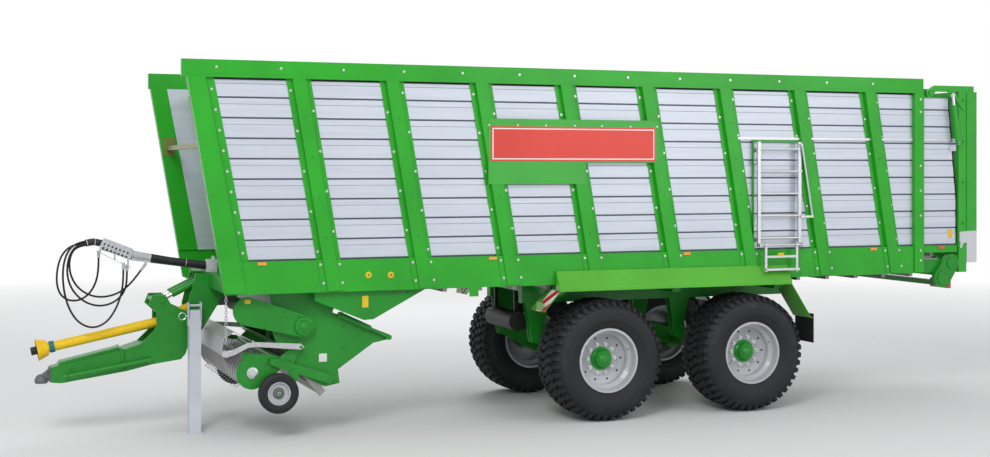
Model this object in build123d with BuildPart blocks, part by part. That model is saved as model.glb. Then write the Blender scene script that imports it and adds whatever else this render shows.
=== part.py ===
from build123d import *
from math import cos, degrees, pi, radians, sin, tan
import os

os.makedirs("parts", exist_ok=True)

# A two-axle loader wagon, parked on its jack leg with the pick-up raised.
# X runs rearwards, Y to the right-hand side, Z up; the ground is at Z = 0.

# Box body
body_half = 1238.0          # outer face of the side beam and the top rail
post_half = 1258.0          # outer face of the raised posts
wall_outer = 1205.0         # outermost face of the planks
wall_inner = 1165.0         # smooth inner face of the planks
beam_low = 1507.0
beam_high = 1835.0
rail_low = 3675.0
rail_high = 3850.0
rail_front = -4163.0
rail_rear = 4714.0
lean = 0.1705               # forward lean of the posts, X for each Z
beam_front = -3715.0        # front end of the side beam at its lower edge
rail_lip = 10.0
lip_depth = 25.0

# Slanted posts of the side walls
post_count = 8
post_first = -2985.0        # middle of the first post at the rail's lower edge
post_pitch = 988.0
post_face = 140.0
post_total = 256.0
flange_thick = 6.0
post_foot = 1522.0
corner_top = 180.0
corner_foot = 220.0
corner_flange = 90.0
rear_post_front = 4572.0
rear_post_back = 4706.0

# Planks
plank_count = 9
plank_step = 8.0
plank_rear = 5215.0
plank_tail_top = 3625.0
tail_slant_top = 5095.0
tail_slant_low = 2400.0

# Side door and ladder
door_front = 2345.0
door_back = 2955.0
door_high = 3070.0
door_gap = 6.0
ladder_front = 2358.0
ladder_back = 2942.0
ladder_low = 1870.0
ladder_high = 3075.0
rung_count = 5
rung_low = 1968.0
rung_high = 2992.0
rung_radius = 14.0
stringer = 40.0
hand_top = 2935.0
hand_low = 3080.0
hand_radius = 11.0
ladder_face = 1300.0
door_hinge_x = 2345.0
door_hinge_y = -1262.0
door_hinge_heights = (2080.0, 2860.0)
door_pin_radius = 10.0
step_pivot_z = 1890.0
step_pivot_y = -1329.0
step_pivot_radius = 9.0

# Floor and scraper chains
sill_inner = 1130.0
seat = 0.3                  # gap left between pieces of different bodies that bear on each other
deck_low = 1668.0
deck_thick = 10.0
floor_front = -2350.0
shaft_x = 5060.0
shaft_z = 1600.0
sprocket_radius = 78.0
chain_radius = 90.0
chain_thick = 24.0
slat_high = 38.0
slat_wide = 50.0
slat_pitch = 400.0
chain_lines = (60.0, 1090.0)

# Axles and wheels
axle_front_x = 455.0
axle_rear_x = 2275.0
axle_z = 666.5
tyre_width = 600.0
track_half = 1075.0
rim_seat = 336.0
rim_flange = 353.0
rim_half = 250.0
hub_bore = 50.3
stub_radius = 50.0
rail_inner = 440.0
rail_outer = 540.0
subframe_low = 1250.0
subframe_high = 1450.0
kingpin_y = 700.0
kingpin_radius = 32.0
steer_arm = 230.0

# Rotor, pick-up and drive
rotor_x = -2890.0
rotor_z = 1150.0
rotor_radius = 270.0
channel_radius = 300.0
housing_inner = 960.0
housing_outer = 975.0
reel_x = -3409.0
reel_z = 688.0
reel_tip = 215.0
stripper_radius = 158.0
pickup_pivot_x = -2603.0
pickup_pivot_z = 591.0
guard_pivot_x = -2925.0
guard_pivot_z = 942.0
gauge_x = -3165.0
gauge_z = 485.0
gauge_radius = 205.0
gauge_width = 100.0

# Drawbar
drawbar_x = -3850.0
drawbar_z = 1130.0
plate_inner = 150.0
plate_outer = 170.0
ball_x = -5390.0
ball_z = 585.0
ball_radius = 40.5
rod_eye_x = -4190.0
rod_eye_z = 1389.0
barrel_eye_x = -3780.0
barrel_eye_z = 1586.0
draw_cylinder_y = 102.0
draw_lug_reach = 42.0
pin_radius = 20.0
pin_clear = 0.3

# Jack leg
jack_x = -3880.0
jack_y = -335.0
jack_side = 120.0

# Tailgate
hinge_x = 4810.0
hinge_z = 3679.0
tail_inner_x = 5237.0
tail_post_x = 5353.0
tail_rear = 5500.0
tail_low = 1504.0
tail_eye_x = 5105.0
tail_eye_z = 3657.0
tail_foot_x = 5185.0
tail_foot_z = 3072.0
tail_cylinder_y = 1292.0
hinge_pin_radius = 22.0
tail_pin_radius = 15.0


def lean_x(x_at_rail, z):
    """X of a leaning line at height z, from its X at the rail's lower edge."""
    return x_at_rail + (rail_low - z) * lean


def side_plane(y):
    """Sketch plane at a given Y: local x is X and local y is Z."""
    return Plane(origin=(0, y, 0), x_dir=(1, 0, 0), z_dir=(0, -1, 0))


def cross_plane(x):
    """Sketch plane at a given X: local x is Y and local y is Z."""
    return Plane(origin=(x, 0, 0), x_dir=(0, 1, 0), z_dir=(1, 0, 0))


def side_plate(points, y_near, y_far, mode=Mode.ADD):
    """An outline in X and Z that runs from one Y to another."""
    with BuildSketch(side_plane(y_near)) as outline:
        Polygon(*points, align=None)
    extrude(outline.sketch, amount=y_near - y_far, mode=mode)


def cross_plate(points, x_near, x_far, mode=Mode.ADD):
    """An outline in Y and Z that runs from one X to another."""
    with BuildSketch(cross_plane(x_near)) as outline:
        Polygon(*points, align=None)
    extrude(outline.sketch, amount=x_far - x_near, mode=mode)


def block(x_span, y_span, z_span, mode=Mode.ADD):
    """A box from its spans along X, Y and Z."""
    middle = [(low + high) / 2 for low, high in (x_span, y_span, z_span)]
    size = [high - low for low, high in (x_span, y_span, z_span)]
    with Locations(tuple(middle)):
        Box(*size, mode=mode)


def bar(start, end, radius, mode=Mode.ADD):
    """A round bar between two points."""
    along = Vector(*end) - Vector(*start)
    with BuildSketch(Plane(origin=start, z_dir=along)) as section:
        Circle(radius)
    extrude(section.sketch, amount=along.length, mode=mode)


def square_bar(start, end, side):
    """A square bar between two points of the same Y."""
    along = Vector(*end) - Vector(*start)
    with BuildSketch(Plane(origin=start, x_dir=(0, 1, 0), z_dir=along)) as section:
        Rectangle(side, side)
    extrude(section.sketch, amount=along.length)


def cross_bar(x, z, y_near, y_far, radius, mode=Mode.ADD):
    """A round bar along Y."""
    bar((x, y_near, z), (x, y_far, z), radius, mode)


def write(piece, name):
    """Labels a finished piece and writes it."""
    piece.part.label = name
    export_step(piece.part, f"parts/{name}.step")


# Side frame: top rail, side beam, corner post, slanted posts and rear post
with BuildPart() as side_frame_left:
    beam_back = rear_post_back
    side_plate([(beam_front, beam_low), (lean_x(beam_front - (rail_low - beam_low) * lean, beam_high), beam_high),
                (beam_back, beam_high), (beam_back, beam_low)], -1190, -body_half)
    block((beam_back - 1, plank_rear), (-body_half + 8, -1190), (beam_high - 85, beam_high))
    block((rail_front, rail_rear), (-body_half, -1190), (rail_low, rail_high))
    block((rail_front, rail_rear), (-body_half - rail_lip, -body_half), (rail_low, rail_low + lip_depth))
    corner_x = beam_front - (rail_low - beam_low) * lean
    front_edge = corner_x - 26
    # each row: face width at the rail, at the foot, inner Y, outer Y
    for at_rail, at_foot, y_in, y_out in (
        (corner_top, corner_foot, 1190.0, post_half),
        (corner_top + corner_flange, corner_foot + corner_flange, wall_outer, wall_outer + flange_thick),
    ):
        side_plate([(front_edge, rail_low), (front_edge + at_rail, rail_low),
                    (lean_x(front_edge + at_foot, post_foot), post_foot),
                    (lean_x(front_edge, post_foot), post_foot)], -y_in, -y_out)
    side_plate([(front_edge, rail_low), (front_edge + corner_top, rail_low),
                (lean_x(front_edge + corner_foot, beam_high), beam_high),
                (lean_x(front_edge, beam_high), beam_high)], -wall_inner, -1191)
    for index in range(post_count):
        middle = post_first + index * post_pitch
        # each row: width of the strip, inner Y, outer Y, lower end, upper end
        for width, y_in, y_out, low, high in (
            (post_face, wall_outer, post_half, post_foot, rail_low),
            (post_total, wall_outer, wall_outer + flange_thick, beam_high, rail_low),
            (post_total, body_half, body_half + flange_thick, post_foot, beam_high),
        ):
            side_plate([(lean_x(middle - width / 2, high), high), (lean_x(middle + width / 2, high), high),
                        (lean_x(middle + width / 2, low), low), (lean_x(middle - width / 2, low), low)],
                       -y_in, -y_out)
    block((rear_post_front, rear_post_back), (-post_half, -wall_outer), (post_foot, rail_low))
    # lashing lugs below the beam
    for lug_x in (-1090.0, -85.0, 2690.0):
        block((lug_x - 50, lug_x + 50), (-body_half, -body_half + 12), (beam_low - 95, beam_low + 1))
    # cheek plate and pin of the tailgate's hinge
    side_plate([(hinge_x - 160, rail_low + 1), (hinge_x - 160, hinge_z + 55), (hinge_x, hinge_z + 55),
                (hinge_x + 45, hinge_z + 20), (hinge_x + 45, hinge_z - 20), (hinge_x + 15, hinge_z - 40),
                (hinge_x - 15, hinge_z - 40), (hinge_x - 50, rail_low + 1)], -wall_inner, -1191)
    cross_bar(hinge_x, hinge_z, -wall_inner - 1, -body_half - 14, hinge_pin_radius)

with BuildPart() as side_frame_right:
    mirror(side_frame_left.part, about=Plane.XZ)
    block((rail_front - 1, front_edge - 22), (1180, body_half + rail_lip + 1), (rail_low - 1, rail_high + 1),
          mode=Mode.SUBTRACT)
write(side_frame_right, "side_frame_right")

# the door's opening, trimmed out of the post flanges on the left alone, with its frame and hinge pins bolted on
frame_face = -wall_outer - flange_thick - seat
frame_wide = 12.0
with side_frame_left:
    block((door_front, door_back), (-wall_outer - flange_thick - 1, -wall_outer + 1),
          (beam_high + 1, door_high), mode=Mode.SUBTRACT)
    # each row: front edge, lower end above the slanted post
    for edge, low in ((door_front - frame_wide, beam_high + 42), (door_back, beam_high + seat)):
        block((edge, edge + frame_wide), (-wall_outer - 28, frame_face), (low, door_high + 25))
    block((door_front - frame_wide, door_back + frame_wide), (-wall_outer - 28, frame_face),
          (door_high, door_high + 25))
    for z in door_hinge_heights:
        block((door_hinge_x - 24, door_hinge_x + 10), (door_hinge_y - 10, -wall_outer - 27), (z - 44, z - 32))
        bar((door_hinge_x, door_hinge_y, z - 40), (door_hinge_x, door_hinge_y, z + 34), door_pin_radius)
write(side_frame_left, "side_frame_left")

# Plank wall: stepped planks outside, smooth inside
plank_low = beam_high
plank_high = rail_low
plank_pitch = (plank_high - plank_low) / plank_count


def plank_wall(x_front_top, x_back):
    """A stepped wall of planks between the beam and the rail."""
    section = [(-wall_inner, plank_low)]
    for index in range(plank_count):
        low = plank_low + index * plank_pitch
        section += [(-wall_outer + plank_step, low), (-wall_outer + plank_step, low + 12),
                    (-wall_outer, low + 20), (-wall_outer, low + plank_pitch - 60),
                    (-wall_outer + plank_step / 2, low + plank_pitch - 55),
                    (-wall_outer + plank_step / 2, low + plank_pitch)]
    section.append((-wall_inner, plank_high))
    cross_plate(section, x_front_top, x_back)


with BuildPart() as side_planks_left:
    plank_wall(front_edge + 40, plank_rear)
    # front edge leans with the corner post
    side_plate([(front_edge - 200, plank_low - 1), (front_edge - 200, rail_low + 1),
                (front_edge + corner_top + 1, rail_low + 1),
                (lean_x(front_edge + corner_foot, plank_low) + 1, plank_low - 1)],
               -wall_inner + 1, -wall_outer - 1, mode=Mode.SUBTRACT)
    # tail edge slants under the tailgate's arm
    side_plate([(rail_rear, rail_low + 1), (rail_rear, plank_tail_top), (tail_slant_top, plank_tail_top),
                (plank_rear, tail_slant_low), (plank_rear + 5, tail_slant_low), (plank_rear + 5, rail_low + 1)],
               -wall_inner + 1, -wall_outer - 1, mode=Mode.SUBTRACT)
    # foot bracket and pin of the tailgate's cylinder
    side_plate([(tail_foot_x - 70, tail_foot_z - 90), (tail_foot_x - 30, tail_foot_z + 60),
                (tail_foot_x + 25, tail_foot_z + 60), (tail_foot_x + 29, tail_foot_z - 90)],
               -wall_outer + 1, -wall_outer - 14)
    cross_bar(tail_foot_x, tail_foot_z, -wall_outer, -tail_cylinder_y - 20, tail_pin_radius)

with BuildPart() as side_planks_right:
    mirror(side_planks_left.part, about=Plane.XZ)
write(side_planks_right, "side_planks_right")

# the door's opening is cut in the left-hand wall alone
with side_planks_left:
    block((door_front, door_back), (-wall_outer - 1, -wall_inner + 1), (plank_low - 1, door_high),
          mode=Mode.SUBTRACT)
write(side_planks_left, "side_planks_left")

deck_back = shaft_x - 100

# Chassis: sills, cross members, undercarriage frame, hangers and the front frame
sill_front = beam_front + 15
with BuildPart() as chassis:
    for side in (-1, 1):
        near, far = sorted((side * sill_inner, side * (1190 - seat)))
        block((sill_front, 5170), (near, far), (beam_low, deck_low - seat))
        near, far = sorted((side * rail_inner, side * rail_outer))
        block((-250, 3150), (near, far), (subframe_low, subframe_high))
        # hangers of the two axle arms
        for axle_x in (axle_front_x, axle_rear_x):
            hanger = axle_x - 540
            side_plate([(hanger - 110, subframe_low + 1), (hanger + 150, subframe_low + 1),
                        (hanger + 55, 800), (hanger - 45, 800)], min(near, far), min(near, far) + 14)
            side_plate([(hanger - 110, subframe_low + 1), (hanger + 150, subframe_low + 1),
                        (hanger + 55, 800), (hanger - 45, 800)], max(near, far) - 14, max(near, far))
            cross_bar(hanger + 5, 850, min(near, far), max(near, far), 25)
        # gusset that widens the frame in front of the axles
        near, far = sorted((side * 1150.0, side * 1165.0))
        side_plate([(-2803, beam_low + 1), (-2803, 1416), (-2285, 1201), (-2180, 1205), (-1600, beam_low + 1)],
                   near, far)
        # bearing plates of the floor shaft
        near, far = sorted((side * 1131.0, side * 1150.0))
        side_plate([(4760, beam_low), (4760, deck_low - seat), (deck_back + seat, deck_low - seat),
                    (deck_back + seat, 1700), (5170, 1700), (5170, 1560), (5130, 1480), (4980, 1470)],
                   near, far)
        near, far = sorted((side * 1129.0, side * 1191.0))
        cross_bar(shaft_x, shaft_z, near, far, 30 + seat, mode=Mode.SUBTRACT)
    for x in (-2200, -1500, -800, -85, 650, 1365, 2090, 2690, 3500, 4200, 4830):
        block((x - 25, x + 25), (-sill_inner - 1, sill_inner + 1), (1580, deck_low - seat))
    for x in (-85, 1365, 2690):
        block((x - 50, x + 50), (-1190 + seat, 1190 - seat), (1380, subframe_high))
        for side in (-1, 1):
            near, far = sorted((side * sill_inner, side * (1190 - seat)))
            block((x - 50, x + 50), (near, far), (1380, beam_low + 1))
    block((-250, -210), (-rail_inner - 1, rail_inner + 1), (1380, subframe_high))
    # front cross beams and the two drawbar brackets
    block((sill_front, sill_front + 100), (-sill_inner - 1, sill_inner + 1), (beam_low, deck_low - seat))
    block((-3390, -3310), (-sill_inner - 1, sill_inner + 1), (beam_low, 1696 - seat))
    for side in (-1, 1):
        near, far = sorted((side * (plate_outer + 6), side * (plate_outer + 26)))
        side_plate([(-3925, 1060), (-3925, 1330), (-3840, 1660), (-3700, 1660), (-3320, 1590), (-3320, 1500),
                    (-3560, 1400), (-3775, 1060)], near, far)
        near, far = sorted((side * 46.0, side * 60.0))
        side_plate([(-3830, 1520), (-3830, 1650), (-3700, 1660), (-3680, 1520)], near, far)
        near, far = sorted((side * 150.0, side * (plate_outer + 7)))
        side_plate([(-3830, 1520), (-3830, 1650), (-3700, 1660), (-3680, 1520)], near, far)
    cross_bar(drawbar_x, drawbar_z, -plate_outer - 26, plate_outer + 26, 35)
    for side in (-1, 1):
        cross_bar(barrel_eye_x, barrel_eye_z, side * 55.0, side * 155.0, pin_radius)
    block((-3715, -3680), (-200, 200), (1515, 1660))
    # rear lamp bar
    block((5100, 5170), (-1150, 1150), (1330, 1390))
    for side in (-1, 1):
        near, far = sorted((side * 1120.0, side * 1145.0))
        block((5100, 5160), (near, far), (1389, 1500))
    # jack guide behind the leg
    block((jack_x - 45, jack_x + 45), (jack_y + jack_side / 2 + seat, -plate_outer - 20), (1070, 1300))
write(chassis, "chassis")

# Floor deck
with BuildPart() as floor_deck:
    block((floor_front, deck_back), (-1190 + seat, 1190 - seat), (deck_low, deck_low + deck_thick))
write(floor_deck, "floor_deck")

# Scraper chains: four loops that share their cross slats
slat_count = int((shaft_x - floor_front - 100) // slat_pitch) + 1
with BuildPart() as floor_chains:
    for side in (-1, 1):
        for line in chain_lines:
            with BuildSketch(side_plane(side * line - 12)) as loop:
                with Locations(((floor_front + shaft_x) / 2, shaft_z)):
                    SlotCenterToCenter(shaft_x - floor_front, 2 * chain_radius + chain_thick)
                    SlotCenterToCenter(shaft_x - floor_front, 2 * chain_radius - chain_thick,
                                       mode=Mode.SUBTRACT)
            extrude(loop.sketch, amount=-24)
        near, far = sorted((side * (chain_lines[0] - 20), side * (chain_lines[1] + 20)))
        out = chain_radius + (chain_thick + slat_high) / 2 - 1
        with BuildSketch(side_plane(near)) as slats:
            for index in range(slat_count):
                x = floor_front + 85 + index * slat_pitch
                with Locations((x, shaft_z + out), (x + 90, shaft_z - out)):
                    Rectangle(slat_wide, slat_high)
        extrude(slats.sketch, amount=near - far)
write(floor_chains, "floor_chains")

# Floor drive: shaft with sprockets, gear housing and motor
with BuildPart() as floor_drive:
    cross_bar(shaft_x, shaft_z, -1200, 1160, 30)
    for side in (-1, 1):
        for line in chain_lines:
            cross_bar(shaft_x, shaft_z, side * line - 11, side * line + 11, sprocket_radius - seat)
    with BuildSketch(side_plane(-1192)) as housing:
        with Locations((5120, 1620)):
            Circle(110)
        with Locations((4990, 1445)):
            Circle(120)
        make_hull()
    extrude(housing.sketch, amount=58)
    with BuildSketch(side_plane(-1250)) as cover:
        with Locations((5120, 1620)):
            Circle(70)
        with Locations((4990, 1445)):
            Circle(85)
    extrude(cover.sketch, amount=12)
write(floor_drive, "floor_drive")

# Front wall, set back behind the corner posts, with the tie bars above it
wall_front_top = -3640.0
wall_front_foot = -3290.0
with BuildPart() as front_wall:
    side_plate([(wall_front_top, 3600), (wall_front_top + 12, 3600), (wall_front_foot + 12, 1700),
                (wall_front_foot, 1700)], -wall_inner + seat, wall_inner - seat)
    with BuildSketch(side_plane(-wall_inner + 60)) as window:
        Polygon((wall_front_top - 20, 3500), (wall_front_top + 60, 3500), (wall_front_foot - 100, 2500),
                (wall_front_foot - 250, 2500), align=None)
    extrude(window.sketch, amount=-(2 * wall_inner - 120), mode=Mode.SUBTRACT)
    for share in (0.0, 0.25, 0.5, 0.75, 1.0):
        y = -wall_inner + 40 + share * (2 * wall_inner - 80)
        square_bar((wall_front_top - 24, y, 3600), (wall_front_foot - 25, y, 1705), 48)
    for z in (1724, 2480, 3580):
        x = wall_front_top + (3600 - z) * (wall_front_foot - wall_front_top) / 1900
        block((x - 48, x), (-wall_inner + seat, wall_inner - seat), (z - 24, z + 24))
    low_end = Vector(wall_front_foot - 134, 0, 2490)
    high_end = Vector(wall_front_top + 6, 0, 3590)
    with BuildSketch(Plane(origin=low_end, x_dir=(0, 1, 0), z_dir=high_end - low_end)) as rods:
        with GridLocations(125, 1, 17, 1):
            Rectangle(12, 6)
    extrude(rods.sketch, amount=(high_end - low_end).length)
write(front_wall, "front_wall")

tie_z = 3000.0
with BuildPart() as tie_bar:
    tie_x = lean_x(front_edge + 90, tie_z)
    block((tie_x - 30, tie_x + 30), (-wall_inner + 8, wall_inner - 8), (tie_z - 25, tie_z + 25))
    for side in (-1, 1):
        near, far = sorted((side * (wall_inner - seat), side * (wall_inner - 10)))
        block((tie_x - 70, tie_x + 70), (near, far), (tie_z - 90, tie_z + 120))
write(tie_bar, "tie_bar")

# Sign panels on the side walls, bare
sign_front = -911.0
sign_back = 1060.0
with BuildPart() as sign_panel:
    block((sign_front - 25, sign_back + 25), (-post_half - 4, -post_half), (2600, 3300))
    with BuildSketch(side_plane(-post_half - 10)) as trim:
        with Locations((660, 2700)):
            Rectangle(900, 262)
    extrude(trim.sketch, amount=-12, mode=Mode.SUBTRACT)
    block((sign_front, sign_back), (-post_half - 8, -post_half - 4), (2847, 3219))
with BuildPart() as sign_panels:
    add(sign_panel.part)
    mirror(sign_panel.part, about=Plane.XZ)
write(sign_panels, "sign_panels")

# Side door with its ladder
with BuildPart() as side_door:
    plank_wall(door_front + door_gap, door_back - door_gap)
    block((door_front, door_back), (-wall_outer - 1, -wall_inner + 1), (door_high - door_gap, rail_low + 1),
          mode=Mode.SUBTRACT)
    block((door_front, door_back), (-wall_outer - 1, -wall_inner + 1), (plank_low - 1, plank_low + door_gap),
          mode=Mode.SUBTRACT)
    block((door_front + door_gap, door_front + 46), (-wall_outer - 8, -wall_outer + 12),
          (plank_low + door_gap, door_high - door_gap))
    block((door_back - 46, door_back - door_gap), (-wall_outer - 8, -wall_outer + 12),
          (plank_low + door_gap, door_high - door_gap))
    for z in door_hinge_heights:
        block((door_front + door_gap, door_front + 44), (door_hinge_y, -wall_outer - 7), (z - 32 + seat, z + 30))
        bar((door_hinge_x, door_hinge_y, z - 32 + seat), (door_hinge_x, door_hinge_y, z + 30), 18)
        bar((door_hinge_x, door_hinge_y, z - 33), (door_hinge_x, door_hinge_y, z + 35),
            door_pin_radius + pin_clear, mode=Mode.SUBTRACT)
write(side_door, "side_door")

with BuildPart() as ladder:
    for x in (ladder_front, ladder_back - stringer):
        block((x, x + stringer), (-ladder_face, -ladder_face + 25), (ladder_low, ladder_high))
        for z in (ladder_low + 60, ladder_high - 120):
            block((x, x + 30), (-ladder_face + 24, -wall_outer - 8), (z, z + 40))
    for index in range(rung_count):
        z = rung_low + index * (rung_high - rung_low) / (rung_count - 1)
        bar((ladder_front + 1, -ladder_face + 12.5, z), (ladder_back - 1, -ladder_face + 12.5, z), rung_radius)
    # hand rail beside the ladder, on two stand-offs
    bar((hand_top, -ladder_face - 22, ladder_high - 30), (hand_low, -ladder_face - 22, 2200), hand_radius)
    block((ladder_back - 20, hand_top + 8), (-ladder_face - 30, -ladder_face + 1), (ladder_high - 45, ladder_high - 20))
    block((ladder_back - 20, hand_low + 8), (-ladder_face - 30, -ladder_face - 14), (2200, 2225))
    block((ladder_back - 20, ladder_back), (-ladder_face - 30, -ladder_face + 1), (2200, 2225))
    # lugs that carry the folding step
    for x in (ladder_front, ladder_back - 12):
        block((x, x + 12), (step_pivot_y - 16, -ladder_face + 1), (ladder_low, ladder_low + 40))
    bar((ladder_front + 1, step_pivot_y, step_pivot_z), (ladder_back - 1, step_pivot_y, step_pivot_z),
        step_pivot_radius)
write(ladder, "ladder")

step_face = ladder_face + 18
with BuildPart() as ladder_step:
    for x in (ladder_front + 70, ladder_back - 100):
        block((x, x + 30), (-step_face - 22, -step_face), (1585, 1905))
    block((ladder_front + 70, ladder_back - 70), (-step_face - 58, -step_face), (1600, 1625))
    block((ladder_front + 70, ladder_back - 70), (-step_face - 22, -step_face), (1745, 1770))
    for x in (ladder_front + 70, ladder_back - 100):
        bar((x, step_pivot_y, step_pivot_z), (x + 30, step_pivot_y, step_pivot_z), 20)
        bar((x - 1, step_pivot_y, step_pivot_z), (x + 31, step_pivot_y, step_pivot_z),
            step_pivot_radius + pin_clear, mode=Mode.SUBTRACT)
write(ladder_step, "ladder_step")

# Mudguards over both wheels of a side, seated on the feet of the posts
guard_outer = 1375.0
guard_inner = post_half + seat
guard_edge = 1465.0
guard_top = 1655.0
guard_lip = 1440.0
flap_x = 3052.0
with BuildPart() as mudguard:
    cross_plate([(-guard_inner, guard_top), (-guard_inner, guard_top - 7), (-guard_outer + 4, guard_edge - 3),
                 (-guard_outer + 4, guard_lip), (-guard_outer, guard_lip), (-guard_outer, guard_edge),
                 (-guard_inner - 4, guard_top)], -150, 2770)
    side_plate([(-150, guard_lip + 1), (-144, guard_lip + 1), (-339, 1226), (-345, 1226)], -1000, -guard_outer)
    side_plate([(2770, guard_lip + 1), (2764, guard_lip + 1), (3026, 1041), (3032, 1041)], -1000, -guard_outer)
    for x in (-150, 2764):
        cross_plate([(-guard_inner, guard_top), (-guard_inner, guard_lip), (-guard_outer, guard_lip),
                     (-guard_outer, guard_edge)], x, x + 6)
    block((3026, flap_x - seat), (-guard_outer, -1000), (1041, 1047))
    block((-345, -341), (-1340, -1180), (1226, 1330))
    for x in (455, 1365, 2275):
        cross_plate([(-guard_inner, guard_top - 5), (-guard_inner, 1510), (-guard_outer + 4, guard_edge - 8)],
                    x - 3, x + 3)
with BuildPart() as mudguards:
    add(mudguard.part)
    mirror(mudguard.part, about=Plane.XZ)
write(mudguards, "mudguards")

with BuildPart() as mud_flaps:
    for side in (-1, 1):
        near, far = sorted((side * 1000.0, side * guard_outer))
        block((flap_x, flap_x + 8), (near, far), (753, 1090))
write(mud_flaps, "mud_flaps")


def axle_arms(axle_x):
    """Trailing arms, lift cylinders and the beam of one axle."""
    for side in (-1, 1):
        near, far = sorted((side * (rail_inner + 15), side * (rail_outer - 15)))
        side_plate([(axle_x - 535, 800), (axle_x - 575, 850), (axle_x - 535, 900), (axle_x - 90, 780),
                    (axle_x + 90, 770), (axle_x + 90, 560), (axle_x - 90, 560)], near, far)
        cross_bar(axle_x - 535, 850, near - 1, far + 1, 25 + seat, mode=Mode.SUBTRACT)
        middle = side * (rail_inner + rail_outer) / 2
        bar((axle_x, middle, 769), (axle_x, middle, 1100), 48)
        bar((axle_x, middle, 1099), (axle_x, middle, subframe_low - seat), 32)


with BuildPart() as axle_front:
    block((axle_front_x - 75, axle_front_x + 75), (-860, 860), (axle_z - 75, axle_z + 75))
    cross_bar(axle_front_x, axle_z, -1060, 1060, stub_radius)
    axle_arms(axle_front_x)
write(axle_front, "axle_front")

fork_gap = 115.0
with BuildPart() as axle_rear:
    block((axle_rear_x - 75, axle_rear_x + 75), (-600, 600), (axle_z - 75, axle_z + 75))
    for side in (-1, 1):
        near, far = sorted((side * 560.0, side * 770.0))
        for low, high in ((axle_z - fork_gap - 25, axle_z - fork_gap), (axle_z + fork_gap, axle_z + fork_gap + 25)):
            block((axle_rear_x - 70, axle_rear_x + 70), (near, far), (low, high))
        near, far = sorted((side * 560.0, side * 605.0))
        block((axle_rear_x - 70, axle_rear_x + 70), (near, far), (axle_z - fork_gap - 1, axle_z + fork_gap + 1))
    axle_arms(axle_rear_x)
    for side in (-1, 1):
        bar((axle_rear_x, side * kingpin_y, axle_z - 200), (axle_rear_x, side * kingpin_y, axle_z + 200),
            kingpin_radius + pin_clear, mode=Mode.SUBTRACT)
write(axle_rear, "axle_rear")

arm_z = axle_z - 85.0
for name, side in (("knuckle_left", -1), ("knuckle_right", 1)):
    with BuildPart() as knuckle:
        pin_y = side * kingpin_y
        block((axle_rear_x - 55, axle_rear_x + 55), (pin_y - 50, pin_y + 50),
              (axle_z - fork_gap + seat, axle_z + fork_gap - seat))
        bar((axle_rear_x, pin_y, axle_z - fork_gap - 35), (axle_rear_x, pin_y, axle_z + fork_gap + 35),
            kingpin_radius)
        cross_bar(axle_rear_x, axle_z, pin_y, side * 860.0, 75)
        cross_bar(axle_rear_x, axle_z, pin_y, side * 1060.0, stub_radius)
        block((axle_rear_x, axle_rear_x + steer_arm + 30), (pin_y - 30, pin_y + 30), (arm_z - 15, arm_z + 15))
        bar((axle_rear_x + steer_arm, pin_y, arm_z - 16), (axle_rear_x + steer_arm, pin_y, arm_z + 16),
            14 + pin_clear, mode=Mode.SUBTRACT)
    write(knuckle, name)

with BuildPart() as tie_rod:
    rod_z = arm_z - 15 - seat - 22
    cross_bar(axle_rear_x + steer_arm, rod_z, -kingpin_y - 25, kingpin_y + 25, 22)
    for side in (-1, 1):
        bar((axle_rear_x + steer_arm, side * kingpin_y, rod_z), (axle_rear_x + steer_arm, side * kingpin_y, arm_z + 22), 14)
write(tie_rod, "tie_rod")


def wheel_axis(x, z):
    """Turning axis of a wheel."""
    return Axis((x, 0, z), (0, 1, 0))


def wheel_plane(x, z):
    """Half-section plane of a wheel: local x is Y, local y the radius."""
    return Plane(origin=(x, 0, z), x_dir=(0, 1, 0), z_dir=(1, 0, 0))


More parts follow.
